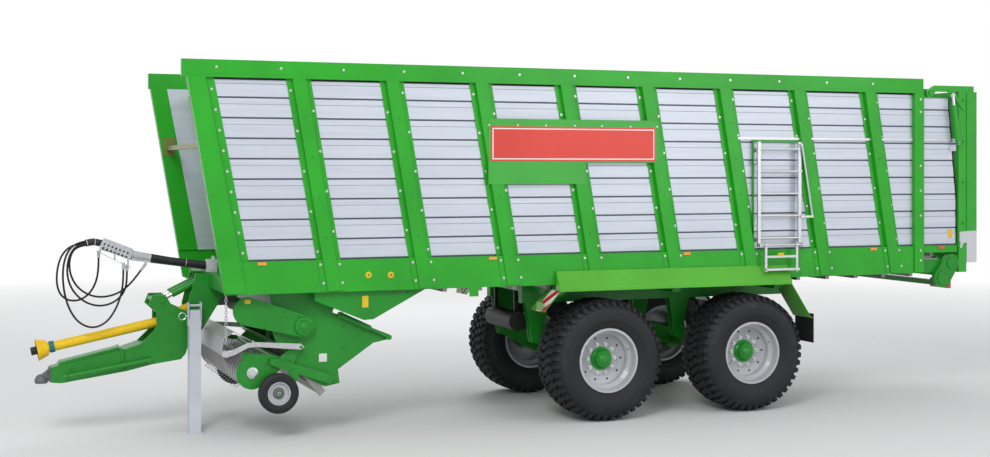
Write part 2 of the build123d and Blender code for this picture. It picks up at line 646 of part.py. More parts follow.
# Road wheels: name, axle, side
road_wheels = (
    ("front_left", axle_front_x, -1),
    ("front_right", axle_front_x, 1),
    ("rear_left", axle_rear_x, -1),
    ("rear_right", axle_rear_x, 1),
)
tyre_radius = axle_z
for name, x, side in road_wheels:
    middle = side * track_half
    with BuildPart() as tyre:
        with BuildSketch(wheel_plane(x, axle_z)) as section:
            with BuildLine():
                half = tyre_width / 2
                Polyline((middle - 246, rim_seat + seat), (middle - 246, rim_flange + 4))
                ThreePointArc((middle - 246, rim_flange + 4), (middle - half, 480), (middle - 284, 618))
                Polyline((middle - 284, 618), (middle - 232, 652), (middle, tyre_radius), (middle + 232, 652),
                         (middle + 284, 618))
                ThreePointArc((middle + 284, 618), (middle + half, 480), (middle + 246, rim_flange + 4))
                Polyline((middle + 246, rim_flange + 4), (middle + 246, rim_seat + seat),
                         (middle + 206, rim_seat + seat), (middle + 262, 480), (middle + 236, 610),
                         (middle, 634), (middle - 236, 610), (middle - 262, 480),
                         (middle - 206, rim_seat + seat), (middle - 246, rim_seat + seat))
            make_face()
        revolve(axis=wheel_axis(x, axle_z))
    write(tyre, "tyre_" + name)
    with BuildPart() as rim:
        with BuildSketch(wheel_plane(x, axle_z)) as section:
            with BuildLine():
                edge = rim_half
                Polyline((middle - edge, rim_flange), (middle - edge + 3.5, rim_flange), (middle - edge + 3.5, rim_seat),
                         (middle - 150, rim_seat - 6), (middle - 118, 292), (middle + 118, 292),
                         (middle + 150, rim_seat - 6), (middle + edge - 3.5, rim_seat),
                         (middle + edge - 3.5, rim_flange), (middle + edge, rim_flange),
                         (middle + edge, rim_seat - 8), (middle + 158, rim_seat - 15), (middle + 126, 280),
                         (middle - 126, 280), (middle - 158, rim_seat - 15), (middle - edge, rim_seat - 8),
                         close=True)
            make_face()
        revolve(axis=wheel_axis(x, axle_z))
        with BuildSketch(wheel_plane(x, axle_z)) as disc:
            with BuildLine():
                Polyline((middle + side * 60, 281), (middle + side * 46, 281), (middle + side * 28, 200),
                         (middle + side * 28, hub_bore), (middle + side * 44, hub_bore), (middle + side * 44, 200),
                         close=True)
            make_face()
        revolve(axis=wheel_axis(x, axle_z))
        with BuildSketch(wheel_plane(x, axle_z)) as hub:
            with BuildLine():
                Polyline((middle - side * 200, hub_bore), (middle - side * 200, 130), (middle + side * 30, 130),
                         (middle + side * 60, 92), (middle + side * 120, 84), (middle + side * 120, 0),
                         (middle - side * 14, 0), (middle - side * 14, hub_bore), close=True)
            make_face()
        revolve(axis=wheel_axis(x, axle_z))
    write(rim, "rim_" + name)

# Compressed-air tank and its straps
with BuildPart() as air_tank:
    cross_bar(-230, 1030, -380, 380, 110)
    for side in (-1, 1):
        y = side * 300.0
        block((-250, -210), (y - 15, y + 15), (1130, 1380 - seat))
write(air_tank, "air_tank")

# Rotor housing: side plates, the sheet of the feed channel and the cylinders of the knife bank
knife_cylinder_y = housing_outer + 37
with BuildPart() as rotor_housing:
    for side in (-1, 1):
        near, far = sorted((side * housing_inner, side * housing_outer))
        with BuildSketch(side_plane(near)) as plate:
            with Locations((rotor_x, rotor_z)):
                Circle(channel_radius + 10)
            Polygon((-3290, 1690), (-2500, 1690), (-2500, 1400), (-2570, 1275), (-1935, 1012), (-1925, 975),
                    (-2124, 937), (-2507, 678),
                    (-2488, 535), (-2646, 507), (-2883, 630), (-3050, 900), (-3184, 1300), align=None)
            with Locations((rotor_x, rotor_z)):
                Circle(60, mode=Mode.SUBTRACT)
        extrude(plate.sketch, amount=near - far)
        near, far = sorted((side * housing_inner, side * (1190 - seat)))
        block((-3290, -2500), (near, far), (deck_low, deck_low + 6))
    with BuildSketch(side_plane(-housing_inner)) as channel:
        with BuildLine():
            start, end = radians(215), radians(350)
            for radius in (channel_radius, channel_radius + 6):
                CenterArc((rotor_x, rotor_z), radius, degrees(start), degrees(end - start))
            for angle in (start, end):
                Line((rotor_x + channel_radius * cos(angle), rotor_z + channel_radius * sin(angle)),
                     (rotor_x + (channel_radius + 6) * cos(angle), rotor_z + (channel_radius + 6) * sin(angle)))
        make_face()
        tip = radians(350)
        Polygon((rotor_x + channel_radius * cos(tip), rotor_z + channel_radius * sin(tip)),
                (rotor_x + (channel_radius + 6) * cos(tip), rotor_z + (channel_radius + 6) * sin(tip)),
                (-2494, 1660), (-2500, 1660), align=None)
    extrude(channel.sketch, amount=-2 * housing_inner)
    side_plate([(-3180, 1300), (-3174, 1300), (-3284, 1690), (-3290, 1690)], -housing_inner, housing_inner)
    cross_bar(-2240, 960, -housing_inner, housing_inner, 30)
    cross_bar(-2540, 620, -housing_inner, housing_inner, 30)
    for side in (-1, 1):
        cross_bar(pickup_pivot_x, pickup_pivot_z, side * housing_inner, side * 1040.0, 22)
        near, far = sorted((side * (housing_inner + 1), side * (knife_cylinder_y + 18)))
        cross_bar(-2489, 1246, near, far, 20)
        cross_bar(-1965, 994, near, far, 16)
        y = side * knife_cylinder_y
        bar((-2489, y, 1246), (-2170, y, 1093), 31)
        bar((-2175, y, 1095), (-1965, y, 994), 17)
        cross_bar(-2489, 1246, y - 18, y + 18, 34)
        cross_bar(-1965, 994, y - 18, y + 18, 28)
write(rotor_housing, "rotor_housing")

# Feed rotor: a tube with star plates, turned a little from plate to plate
rotor_plates = 18
rotor_arms = 6
with BuildPart() as feed_rotor:
    cross_bar(rotor_x, rotor_z, -housing_inner + 10, housing_inner - 10, 110)
    cross_bar(rotor_x, rotor_z, -985, 985, 50)
    for index in range(rotor_plates):
        y = -housing_inner + 60 + index * (2 * housing_inner - 120) / (rotor_plates - 1)
        turn = 60.0 / rotor_arms * abs(index - (rotor_plates - 1) / 2) / 2
        with BuildSketch(side_plane(y - 6)) as star:
            with Locations((rotor_x, rotor_z)):
                with PolarLocations(0, rotor_arms, start_angle=turn):
                    Polygon((95, -28), (rotor_radius, -18), (rotor_radius - 8, 8), (180, 26), (95, 34), align=None)
        extrude(star.sketch, amount=-12)
write(feed_rotor, "feed_rotor")

# Knife bank below the channel
knife_count = 20
with BuildPart() as knife_bank:
    for side in (-1, 1):
        near, far = sorted((side * (housing_inner - 25), side * (housing_inner - seat)))
        side_plate([(-2883, 640), (-2696, 406), (-2639, 458), (-2700, 560), (-2780, 700)], near, far)
    bank_half = housing_inner - 24
    block((-2720, -2660), (-bank_half, bank_half), (440, 500))
    block((-2815, -2765), (-bank_half, bank_half), (615, 665))
    for index in range(knife_count):
        y = -bank_half + 76 + index * (2 * bank_half - 152) / (knife_count - 1)
        side_plate([(-2800, 650), (-2700, 480), (-2660, 520), (-2640, 700), (-2700, 880), (-2810, 838)],
                   y - 2.5, y + 2.5)
write(knife_bank, "knife_bank")

# Drive: main gearbox, cross shaft and the chain case on the left
with BuildPart() as drive_case:
    with BuildSketch(side_plane(-985)) as case:
        with Locations((-3465, 1318)):
            Circle(142)
        with Locations((rotor_x, rotor_z)):
            Circle(113)
        make_hull()
    extrude(case.sketch, amount=70)
    with BuildSketch(side_plane(-1055)) as cap:
        with Locations((rotor_x, rotor_z)):
            Circle(100)
    extrude(cap.sketch, amount=18, taper=20)
    cross_bar(rotor_x, rotor_z, -980, -1000, 50 + pin_clear, mode=Mode.SUBTRACT)
write(drive_case, "drive_case")

with BuildPart() as main_gearbox:
    block((-3600 + seat, -3390 - seat), (-140, 140), (1310, beam_low + 89))
    fillet(main_gearbox.edges().filter_by(Axis.Z), radius=20)
    cross_bar(-3465, 1318, -140, -985 + seat, 45)
write(main_gearbox, "main_gearbox")

# Drive shafts in their guards
pto_tip = (-5491.8, 0.0, 887.0)
pto_back = (-4130.0, 0.0, 1160.0)
with BuildPart() as pto_front:
    along = (Vector(*pto_back) - Vector(*pto_tip)).normalized()
    tip = Vector(*pto_tip)
    bar(pto_tip, tuple(tip + along * 70), 42)
    bar(pto_tip, tuple(tip + along * 60), 17.5, mode=Mode.SUBTRACT)
    cone_low = tip + along * 60
    with BuildSketch(Plane(origin=tuple(cone_low), z_dir=along)) as cone:
        Circle(110)
    extrude(cone.sketch, amount=110, taper=18)
    bar(tuple(tip + along * 160), pto_back, 50)
    bar(tuple(tip + along * 185), tuple(tip + along * 235), 60)
    for ring, radius in ((62, 114), (90, 104), (118, 95), (146, 86)):
        bar(tuple(tip + along * ring), tuple(tip + along * (ring + 9)), radius)
write(pto_front, "pto_front")

with BuildPart() as pto_rear:
    bar((-4010, 0, 1240), (-3630, 0, 1392), 45)
    bar((-3640, 0, 1396), (-3600, 0, 1396), 60)
write(pto_rear, "pto_rear")

# Drawbar: two neck plates on a box beam
neck = [(-4325, 1340), (-4285, 1440), (-4150, 1440), (-4095, 1340), (-3925, 1258), (-3800, 1225), (-3755, 1130),
        (-3800, 1030), (-3908, 917), (-3945, 810), (-3992, 757), (-4297, 717), (-4566, 656), (-4566, 888),
        (-4404, 939), (-4347, 994), (-4281, 1058), (-4244, 1118), (-4244, 1264)]
beam = [(-5300, 570), (-5300, 724), (-4566, 888), (-4404, 939), (-4200, 950), (-4100, 880), (-4150, 737), (-4297, 717),
        (-4566, 656), (-5200, 560)]
with BuildPart() as drawbar:
    side_plate(beam, -plate_inner - 1, plate_inner + 1)
    for side in (-1, 1):
        with BuildSketch(Plane.XY.offset(500)) as taper:
            Polygon((-5310, side * 100), (-4600, side * 152), (-4600, side * 300), (-5310, side * 300), align=None)
        extrude(taper.sketch, amount=500, mode=Mode.SUBTRACT)
        near, far = sorted((side * plate_inner, side * plate_outer))
        side_plate(neck, near, far)
        cross_bar(drawbar_x, drawbar_z, near - 1, far + 1, 35 + pin_clear, mode=Mode.SUBTRACT)
        for y in (draw_cylinder_y - draw_lug_reach, draw_cylinder_y + draw_lug_reach):
            near, far = sorted((side * (y - 7), side * (y + 7)))
            side_plate([(-4240, 1300), (-4240, 1440), (-4150, 1440), (-4110, 1300)], near, far)
        near, far = sorted((side * (draw_cylinder_y + draw_lug_reach), side * (plate_outer + 12)))
        cross_bar(rod_eye_x, rod_eye_z, near, far, 32)
    cross_bar(-4270, 1390, -plate_outer, plate_outer, 28)
    side_plate([(-5235, 735), (-5215, 775), (-4620, 905), (-4580, 884), (-4566, 870), (-5235, 720)], -92, 92)
    side_plate([(-4585, 700), (-4560, 700), (-4600, 905), (-4625, 900)], -plate_inner - 14, plate_inner + 14)
    block((-4240, -4120), (-plate_outer, plate_outer), (1255, 1301))
    block((-4180, -4130), (-plate_inner - 1, plate_inner + 1), (1090, 1256))
    bar((-4200, 0, 1148), (-4100, 0, 1166), 52, mode=Mode.SUBTRACT)
    # steering rods with their balls, one on each side of the beam
    for side in (-1, 1):
        y = side * 215.0
        bar((-5150, y, 640), (-4330, y, 770), 22)
        with Locations((-5165, y, 640)):
            Sphere(30)
        near, far = sorted((side * (plate_outer - 1), side * 236.0))
        block((-4350, -4300), (near, far), (745, 795))
write(drawbar, "drawbar")

# Ball coupling: a cup that closes over the towing ball
with BuildPart() as ball_coupling:
    cross_plate([(-80, 575), (80, 575), (80, 715), (-80, 715)], -5318, -5300 - seat)
    side_plate([(-5318, 600), (-5318, 700), (ball_x, 640), (ball_x, 600)], -40, 40)
    with Locations((ball_x, 0, ball_z)):
        Sphere(66)
    block((ball_x - 100, ball_x + 100), (-100, 100), (ball_z - 120, ball_z - 28), mode=Mode.SUBTRACT)
    with Locations((ball_x, 0, ball_z)):
        Sphere(ball_radius, mode=Mode.SUBTRACT)
        Cylinder(ball_radius, 120, align=(Align.CENTER, Align.CENTER, Align.MAX), mode=Mode.SUBTRACT)
write(ball_coupling, "ball_coupling")


def cylinder_parts(base, tip, barrel_length, barrel_radius, rod_radius, eye_radius, eye_width, bore, pin_span, room):
    """Barrel with a bored eye at the base, and rod whose eye carries its own pin; room is what it may slide in."""
    start = Vector(*base)
    end = Vector(*tip)
    along = (end - start).normalized()
    length = (end - start).length
    y = base[1]
    with BuildPart() as barrel:
        bar(tuple(start + along * (eye_radius - 8)), tuple(start + along * barrel_length), barrel_radius)
        cross_bar(base[0], base[2], y - eye_width / 2, y + eye_width / 2, eye_radius)
        cross_bar(base[0], base[2], y - eye_width, y + eye_width, bore, mode=Mode.SUBTRACT)
        bar(tuple(start + along * (eye_radius + 10)), tuple(start + along * (barrel_length + 1)),
            rod_radius + pin_clear, mode=Mode.SUBTRACT)
    with BuildPart() as rod:
        bar(tuple(start + along * (eye_radius + 15 + room)), tuple(end - along * (eye_radius - 6)), rod_radius)
        cross_bar(tip[0], tip[2], y - eye_width / 2, y + eye_width / 2, eye_radius)
        cross_bar(tip[0], tip[2], *pin_span, bore - pin_clear)
    return barrel.part, rod.part


# Drawbar cylinders: barrels on the frame, rods on the drawbar
draw_barrel, draw_rod = cylinder_parts((barrel_eye_x, draw_cylinder_y, barrel_eye_z),
                                       (rod_eye_x, draw_cylinder_y, rod_eye_z), 330, 39, 25, 38, 60,
                                       pin_radius + pin_clear,
                                       (draw_cylinder_y - draw_lug_reach + 7 + seat,
                                        draw_cylinder_y + draw_lug_reach - 7 - seat), 55)
with BuildPart() as draw_barrels:
    add(draw_barrel)
    mirror(draw_barrel, about=Plane.XZ)
write(draw_barrels, "draw_barrels")
with BuildPart() as draw_rods:
    add(draw_rod)
    mirror(draw_rod, about=Plane.XZ)
write(draw_rods, "draw_rods")

# Jack leg
with BuildPart() as jack_leg:
    half = jack_side / 2
    block((jack_x - half, jack_x + half), (jack_y - half, jack_y + half), (10, 1200))
    block((jack_x - half - 15, jack_x + half + 15), (jack_y - half - 15, jack_y + half + 15), (0, 12))
    block((jack_x - half + 6, jack_x + half - 6), (jack_y - half + 6, jack_y + half - 6), (1199, 1290))
    for side in (-1, 1):
        x = jack_x + side * (half + 5)
        block((x - 5, x + 5), (jack_y - 40, jack_y + 40), (1120, 1370))
    bar((jack_x - half - 5, jack_y, 1335), (jack_x + half + 5, jack_y, 1335), 12)
write(jack_leg, "jack_leg")

# Pick-up: side plates, arms and the cross tube
with BuildPart() as pickup_frame:
    for side in (-1, 1):
        near, far = sorted((side * 985.0, side * 995.0))
        with BuildSketch(side_plane(near)) as plate:
            with Locations((reel_x, reel_z)):
                Circle(166)
            Polygon((-3520, 800), (-3514, 906), (-3162, 854), (-3080, 760), (-3227, 600), (-3330, 560), align=None)
        extrude(plate.sketch, amount=near - far)
        near, far = sorted((side * 994.0, side * 1034.0))
        side_plate([(-3235, 770), (-3235, 830), (-3180, 830), (-2603, 640), (-2555, 591), (-2603, 541), (-3150, 730)],
                   near, far)
        cross_bar(pickup_pivot_x, pickup_pivot_z, near - 1, far + 1, 22 + pin_clear, mode=Mode.SUBTRACT)
        near, far = sorted((side * 994.0, side * 1010.0))
        side_plate([(-3170, 800), (-2985, 960), (-2925, 985), (-2880, 942), (-2925, 900), (-3000, 730)], near, far)
        near, far = sorted((side * 1009.0, side * 1092.0))
        cross_bar(guard_pivot_x, guard_pivot_z, near, far, 14)
        near, far = sorted((side * 1033.0, side * 1046.0))
        side_plate([(-3000, 720), (-2930, 700), (-2950, 600), (-3130, 440), (-3200, 440), (-3200, 530)], near, far)
        near, far = sorted((side * 1045.0, side * 1156.0))
        cross_bar(gauge_x, gauge_z, near, far, 14)
    cross_bar(-3140, 800, -990, 990, 45)
write(pickup_frame, "pickup_frame")

# Reel with its tines
tine_rows = 5
tine_count = 16
tine_pitch = 116.0
with BuildPart() as pickup_reel:
    cross_bar(reel_x, reel_z, -985 + seat, 985 - seat, 30)
    for row in range(tine_rows):
        angle = radians(90 + row * 360 / tine_rows)
        x = reel_x + 110 * cos(angle)
        z = reel_z + 110 * sin(angle)
        cross_bar(x, z, -955, 955, 14)
        tip = Vector(reel_x + reel_tip * cos(angle - 0.12), 0, reel_z + reel_tip * sin(angle - 0.12))
        root = Vector(x, 0, z)
        with BuildSketch(Plane(origin=root, x_dir=(0, 1, 0), z_dir=tip - root)) as tines:
            with GridLocations(tine_pitch, 1, tine_count, 1):
                Rectangle(7, 7)
        extrude(tines.sketch, amount=(tip - root).length)
    for y in (-955, 0, 945):
        with BuildSketch(side_plane(y)) as spider:
            with Locations((reel_x, reel_z)):
                with PolarLocations(0, tine_rows, start_angle=90):
                    Polygon((0, -20), (110, -12), (110, 12), (0, 20), align=None)
        extrude(spider.sketch, amount=-10)
write(pickup_reel, "pickup_reel")

# Stripper bands round the reel
with BuildPart() as strippers:
    for index in range(tine_count + 1):
        y = (index - tine_count / 2) * tine_pitch
        with BuildSketch(side_plane(y - 35)) as band:
            with Locations((reel_x, reel_z)):
                Circle(stripper_radius)
                Circle(stripper_radius - 6, mode=Mode.SUBTRACT)
            with Locations((reel_x + 150, reel_z + 60)):
                Rectangle(220, 130, mode=Mode.SUBTRACT)
            Polygon((reel_x + 60, reel_z + 140), (reel_x + 62, reel_z + 146), (-3160, 810), (-3160, 803), align=None)
            Polygon((reel_x + 148, reel_z - 55), (reel_x + 154, reel_z - 55), (-3150, 790), (-3158, 790), align=None)
            with Locations((-3140, 800)):
                Circle(45 + seat, mode=Mode.SUBTRACT)
        extrude(band.sketch, amount=-70)
write(strippers, "strippers")

# Crop guard: curved sheet, roller and arms, with a comb of tines under the roller
guard_roller_x = -3700.0
with BuildPart() as crop_guard:
    with BuildSketch(side_plane(-1000)) as sheet:
        with BuildLine():
            Polyline((-3722, 915), (-3700, 1050), (-3600, 1110), (-3416, 1010), (-3412, 1015), (-3600, 1117),
                     (-3706, 1053), (-3728, 917), close=True)
        make_face()
    extrude(sheet.sketch, amount=-2000)
    cross_bar(guard_roller_x, 905, -1070, 1070, 33)
    for side in (-1, 1):
        near, far = sorted((side * 1068.0, side * 1082.0))
        side_plate([(-3735, 880), (-3735, 925), (-3620, 945), (-3480, 1005), (-3400, 1012), (-2925, 975),
                    (-2890, 942), (-2925, 915), (-3400, 965), (-3470, 958), (-3610, 890), (-3690, 868)], near, far)
        cross_bar(guard_pivot_x, guard_pivot_z, near - 1, far + 1, 14 + pin_clear, mode=Mode.SUBTRACT)
write(crop_guard, "crop_guard")

guard_tine_count = 22
guard_tine_pitch = 91.4
with BuildPart() as guard_tines:
    side_plate([(guard_roller_x - 12, 861), (guard_roller_x + 30, 861), (guard_roller_x + 36, 872 - seat),
                (guard_roller_x - 18, 872 - seat)], -985, 985)
    for index in range(guard_tine_count):
        y = (index - (guard_tine_count - 1) / 2) * guard_tine_pitch
        side_plate([(guard_roller_x - 8, 862), (guard_roller_x, 862), (-3640, 690), (-3648, 688)], y - 10, y + 10)
write(guard_tines, "guard_tines")

# Gauge wheels
for name, side in (("left", -1), ("right", 1)):
    middle = side * 1102.0
    half = gauge_width / 2
    with BuildPart() as gauge_tyre:
        with BuildSketch(wheel_plane(gauge_x, gauge_z)) as section:
            with BuildLine():
                Polyline((middle - 38, 118), (middle - half, 150), (middle - half, 175), (middle - 30, gauge_radius),
                         (middle + 30, gauge_radius), (middle + half, 175), (middle + half, 150),
                         (middle + 38, 118), close=True)
            make_face()
        revolve(axis=wheel_axis(gauge_x, gauge_z))
    write(gauge_tyre, "gauge_tyre_" + name)
    with BuildPart() as gauge_rim:
        with BuildSketch(wheel_plane(gauge_x, gauge_z)) as section:
            with BuildLine():
                Polyline((middle - 38, 118 - seat), (middle + 38, 118 - seat), (middle + 38, 108),
                         (middle + 10, 100), (middle + 10, 40), (middle + 42, 36), (middle + 42, 14 + pin_clear),
                         (middle - 42, 14 + pin_clear), (middle - 42, 36), (middle - 10, 40), (middle - 10, 100),
                         (middle - 38, 108), close=True)
            make_face()
        revolve(axis=wheel_axis(gauge_x, gauge_z))
    write(gauge_rim, "gauge_rim_" + name)

# Valve block and hose holder in front of the body: arm, sleeve of the bundle, bracket with parked couplers
holder_y = -110.0
sleeve_radius = 36.0
hose_size = 21.0
coupler_length = 55.0


def flange_z(x):
    """Height of the bracket's lower flange at a given X."""
    return 1740 - (x + 4520) * 0.525


# each row: name, X and Y of the coupler's axis
coupler_one = (-4585.0, -165.0)
coupler_two = (-4826.0, -84.0)
coupler_three = (-4545.0, -138.0)
with BuildPart() as hose_holder:
    block((-3716, -3606), (-172, -48), (deck_low, 1800))
    fillet(hose_holder.edges().filter_by(Axis.Z), radius=8)
    for y in (-148, -110, -72):
        bar((-3640, y, 1799), (-3640, y, 1832), 14)
    side_plate([(-3716, 1690), (-3716, 1720), (-4480, 1838), (-4800, 1960), (-4812, 1932), (-4486, 1806)],
               holder_y - 8, holder_y + 8)
    with BuildLine() as sleeve_line:
        FilletPolyline((-3710, holder_y, 1742), (-4100, holder_y, 1798), (-4480, holder_y, 1872),
                       (-4640, holder_y, 1932), (-4790, holder_y, 1990), (-4880, holder_y, 2010),
                       (-4960, holder_y, 1996), radius=[300, 300, 300, 200, 90])
    with BuildSketch(Plane(origin=sleeve_line.line @ 0, z_dir=sleeve_line.line % 0)):
        Circle(sleeve_radius)
    sweep(path=sleeve_line.line)
    side_plate([(-4778, 2050), (-4479, 1927), (-4515, 1826), (-4828, 1949)],
               holder_y - sleeve_radius + 1, holder_y - sleeve_radius - 5)
    side_plate([(-4845, flange_z(-4845) - 4), (-4845, flange_z(-4845) + 4), (-4510, flange_z(-4510) + 4),
                (-4510, flange_z(-4510) - 4)], -182, -64)
    for x in (-4815, -4670, -4535):
        side_plate([(x - 9, flange_z(x) - 2), (x + 9, flange_z(x) - 2), (x + 9, 2040 - (x + 4760) * 0.41 - 90),
                    (x - 9, 2040 - (x + 4760) * 0.41 - 90)], holder_y - sleeve_radius + 1, holder_y - sleeve_radius - 5)
    for x, y in (coupler_one, coupler_two, coupler_three):
        bar((x, y, flange_z(x) + 14), (x, y, flange_z(x) - coupler_length), 16)
    # plug of the fourth hose, hung from the arm
    bar((-4400, -111, 1700), (-4347, -111, 1772), 15)
    bar((-4352, -111, 1765), (-4343, -110, 1800), 9)
write(hose_holder, "hose_holder")


def hose(route, size, name):
    """A hose along its route: straight runs joined by the largest arcs that fit."""
    points = [Vector(*point) for point in route]
    radii = []
    for before, corner, after in zip(points, points[1:], points[2:]):
        shorter = min((corner - before).length, (after - corner).length)
        turn = radians((corner - before).get_angle(after - corner))
        radii.append(0.45 * shorter / tan(turn / 2))
    with BuildPart() as tube:
        with BuildLine():
            path = FilletPolyline(*points, radius=radii)
        with BuildSketch(Plane(origin=path @ 0, z_dir=path % 0)):
            Circle(size / 2)
        sweep(path=path)
    write(tube, name)
    share = tube.part.volume / (pi * size ** 2 / 4 * path.length)
    print(name, "radii", [round(r) for r in radii], "length", round(path.length), "volume share", round(share, 4))


# Hoses: loose loops from the end of the sleeve back to the couplers
hose([(-4963.344, -118, 2015.11), (-5048.057, -118, 2000.285), (-5130, -130, 1932),
      (-5180, -145, 1808), (-5192, -155, 1645),
      (-5172, -162, 1465), (-5118, -165, 1300), (-5026, -165, 1172), (-4890, -165, 1116), (-4758, -165, 1168),
      (-4668, -165, 1292), (-4610, -165, 1440), (-4585, -165, 1590),
      (coupler_one[0], coupler_one[1], flange_z(coupler_one[0]) - coupler_length)], hose_size, "hose_one")
hose([(-4960.965, -90, 2001.516), (-5043.708, -90, 1987.036), (-5134, -86, 1950), (-5205, -84, 1860), (-5240, -84, 1730),
      (-5246, -84, 1585), (-5210, -84, 1465), (-5118, -84, 1400), (-5000, -84, 1408), (-4908, -84, 1480),
      (-4850, -84, 1590), (-4826, -84, 1724),
      (coupler_two[0], coupler_two[1], flange_z(coupler_two[0]) - coupler_length)], hose_size, "hose_two")
hose([(-4959.31, -132, 1992.06), (-5044.023, -132, 1977.235), (-5106, -136, 1910), (-5142, -138, 1800),
      (-5146, -138, 1672),
      (-5113, -138, 1552), (-5045, -138, 1452), (-4950, -138, 1378), (-4835, -138, 1342), (-4715, -138, 1358),
      (-4618, -138, 1420), (-4562, -138, 1506), (-4545, -138, 1605),
      (coupler_three[0], coupler_three[1], flange_z(coupler_three[0]) - coupler_length)], hose_size, "hose_three")
hose([(-4956.552, -104, 1976.299), (-5039.295, -104, 1961.819), (-5098, -108, 1903), (-5124, -111, 1800),
      (-5112, -111, 1675),
      (-5055, -111, 1558), (-4960, -111, 1475), (-4845, -111, 1434), (-4725, -111, 1438), (-4615, -111, 1476),
      (-4525, -111, 1545), (-4453, -111, 1628), (-4400, -111, 1700)], hose_size, "hose_four")

# Tailgate: frame, arms and panel
with BuildPart() as tailgate:
    for side in (-1, 1):
        near, far = sorted((side * (wall_inner - 60), side * body_half))
        block((tail_inner_x, tail_post_x), (near, far), (tail_low, 3704))
        near, far = sorted((side * 1190.0, side * (body_half + 10)))
        block((tail_post_x - 1, tail_rear), (near, far), (1620, 3704))
        near, far = sorted((side * 1195.0, side * body_half))
        cross_bar(hinge_x, hinge_z, near, far, 48)
        side_plate([(hinge_x - 10, hinge_z + 46), (4885, 3775), (tail_rear - 36, 3775), (tail_rear - 36, 3703),
                    (4900, 3703), (hinge_x + 40, hinge_z - 26)], near, far)
        near, far = sorted((side * 1180.0, side * (body_half + 22)))
        cross_bar(hinge_x, hinge_z, near, far, hinge_pin_radius + pin_clear, mode=Mode.SUBTRACT)
        near, far = sorted((side * (body_half - 1), side * (body_half + 14)))
        side_plate([(5070, 3640), (5070, 3720), (5140, 3720), (5140, 3640)], near, far)
        side_plate([(5120, 3650), (5120, 3690), (5175, 3678), (5330, 3510), (5295, 3478), (5150, 3640)], near, far)
        near, far = sorted((side * (body_half - 1), side * (body_half + 10)))
        side_plate([(5247, 1995), (5290, 2000), (5352, 2000), (5352, 1862), (5300, 1858), (5276, 1800),
                    (5252, 1800), (5262, 1868), (5247, 1880)], near, far)
    block((tail_inner_x, tail_post_x), (-wall_inner, wall_inner), (3620, 3704))
    block((tail_inner_x, tail_post_x), (-wall_inner, wall_inner), (tail_low, 1600))
    block((tail_inner_x + 20, tail_inner_x + 60), (-wall_inner, wall_inner), (1590, 3630))
    for y in (-700, -235, 235, 700):
        block((tail_inner_x + 59, 5464), (y - 35, y + 35), (1540, 3700))
write(tailgate, "tailgate")

tail_barrel, tail_rod = cylinder_parts((tail_foot_x, tail_cylinder_y, tail_foot_z),
                                       (tail_eye_x, tail_cylinder_y, tail_eye_z), 470, 32, 18, 26, 30,
                                       tail_pin_radius + pin_clear,
                                       (body_half + 14 + seat, tail_cylinder_y + 20), 10)
with BuildPart() as tail_barrels:
    add(tail_barrel)
    mirror(tail_barrel, about=Plane.XZ)
write(tail_barrels, "tail_barrels")
with BuildPart() as tail_rods:
    add(tail_rod)
    mirror(tail_rod, about=Plane.XZ)
write(tail_rods, "tail_rods")

# Lamps: amber markers along the beam and the rear clusters
with BuildPart() as lamps:
    for side in (-1, 1):
        # each row: X of a marker, Y of the face that carries it
        for x, face in ((-3365.0, body_half), (-880.0, body_half), (1463.0, body_half), (3983.0, body_half),
                        (4973.0, body_half - 8)):
            near, far = sorted((side * (face + seat), side * (face + 16)))
            block((x - 45, x + 45), (near, far), (1797, 1827))
        near, far = sorted((side * 780.0, side * 1120.0))
        block((5170 + seat, 5215), (near, far), (1300, 1410))
write(lamps, "lamps")
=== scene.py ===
import math
import bpy
import bmesh
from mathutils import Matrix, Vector
from mathutils.bvhtree import BVHTree


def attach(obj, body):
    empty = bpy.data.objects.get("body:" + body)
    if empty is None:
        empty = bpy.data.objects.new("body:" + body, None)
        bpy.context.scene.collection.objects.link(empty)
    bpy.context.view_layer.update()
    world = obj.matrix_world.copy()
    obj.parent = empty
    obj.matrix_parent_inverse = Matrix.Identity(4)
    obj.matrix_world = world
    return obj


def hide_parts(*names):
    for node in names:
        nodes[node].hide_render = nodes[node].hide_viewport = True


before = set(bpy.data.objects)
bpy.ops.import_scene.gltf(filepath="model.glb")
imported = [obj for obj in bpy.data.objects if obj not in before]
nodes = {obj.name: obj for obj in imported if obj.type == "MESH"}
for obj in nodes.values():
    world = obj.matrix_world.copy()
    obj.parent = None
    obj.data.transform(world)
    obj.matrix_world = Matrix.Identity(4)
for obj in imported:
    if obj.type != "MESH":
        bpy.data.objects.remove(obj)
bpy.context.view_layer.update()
scene = bpy.context.scene
print("frame loaded:", len(nodes), "nodes")

# camera at the photograph's place, level, with the horizon moved up by the shift
viewFrom = {
    "place": (-6.545, -15.60, 2.766), "ahead": (0.3685, 0.9297, 0.0), "sensor": 36.0, "lens": 52.7,
    "shiftDown": -0.0604, "farthest": 200.0,
}
cameraData = bpy.data.cameras.new("viewCamera")
cameraData.sensor_fit = "HORIZONTAL"
cameraData.sensor_width = viewFrom["sensor"]
cameraData.lens = viewFrom["lens"]
cameraData.shift_y = viewFrom["shiftDown"]
cameraData.clip_end = viewFrom["farthest"]
camera = bpy.data.objects.new("viewCamera", cameraData)
camera.location = viewFrom["place"]
camera.rotation_euler = Vector(viewFrom["ahead"]).to_track_quat("-Z", "Y").to_euler()
scene.collection.objects.link(camera)
scene.camera = camera

# measures that finishes and pieces share, in metres; the photograph shows the left side
sides = {"left": -1, "right": 1}
wall = {"plankLow": 1.835, "plankPitch": 0.204444, "rail": 3.675, "lean": 0.1705}
roadWheel = {"front": 0.455, "rear": 2.275, "height": 0.6665}
gaugeWheel = {"x": -3.165, "z": 0.485}


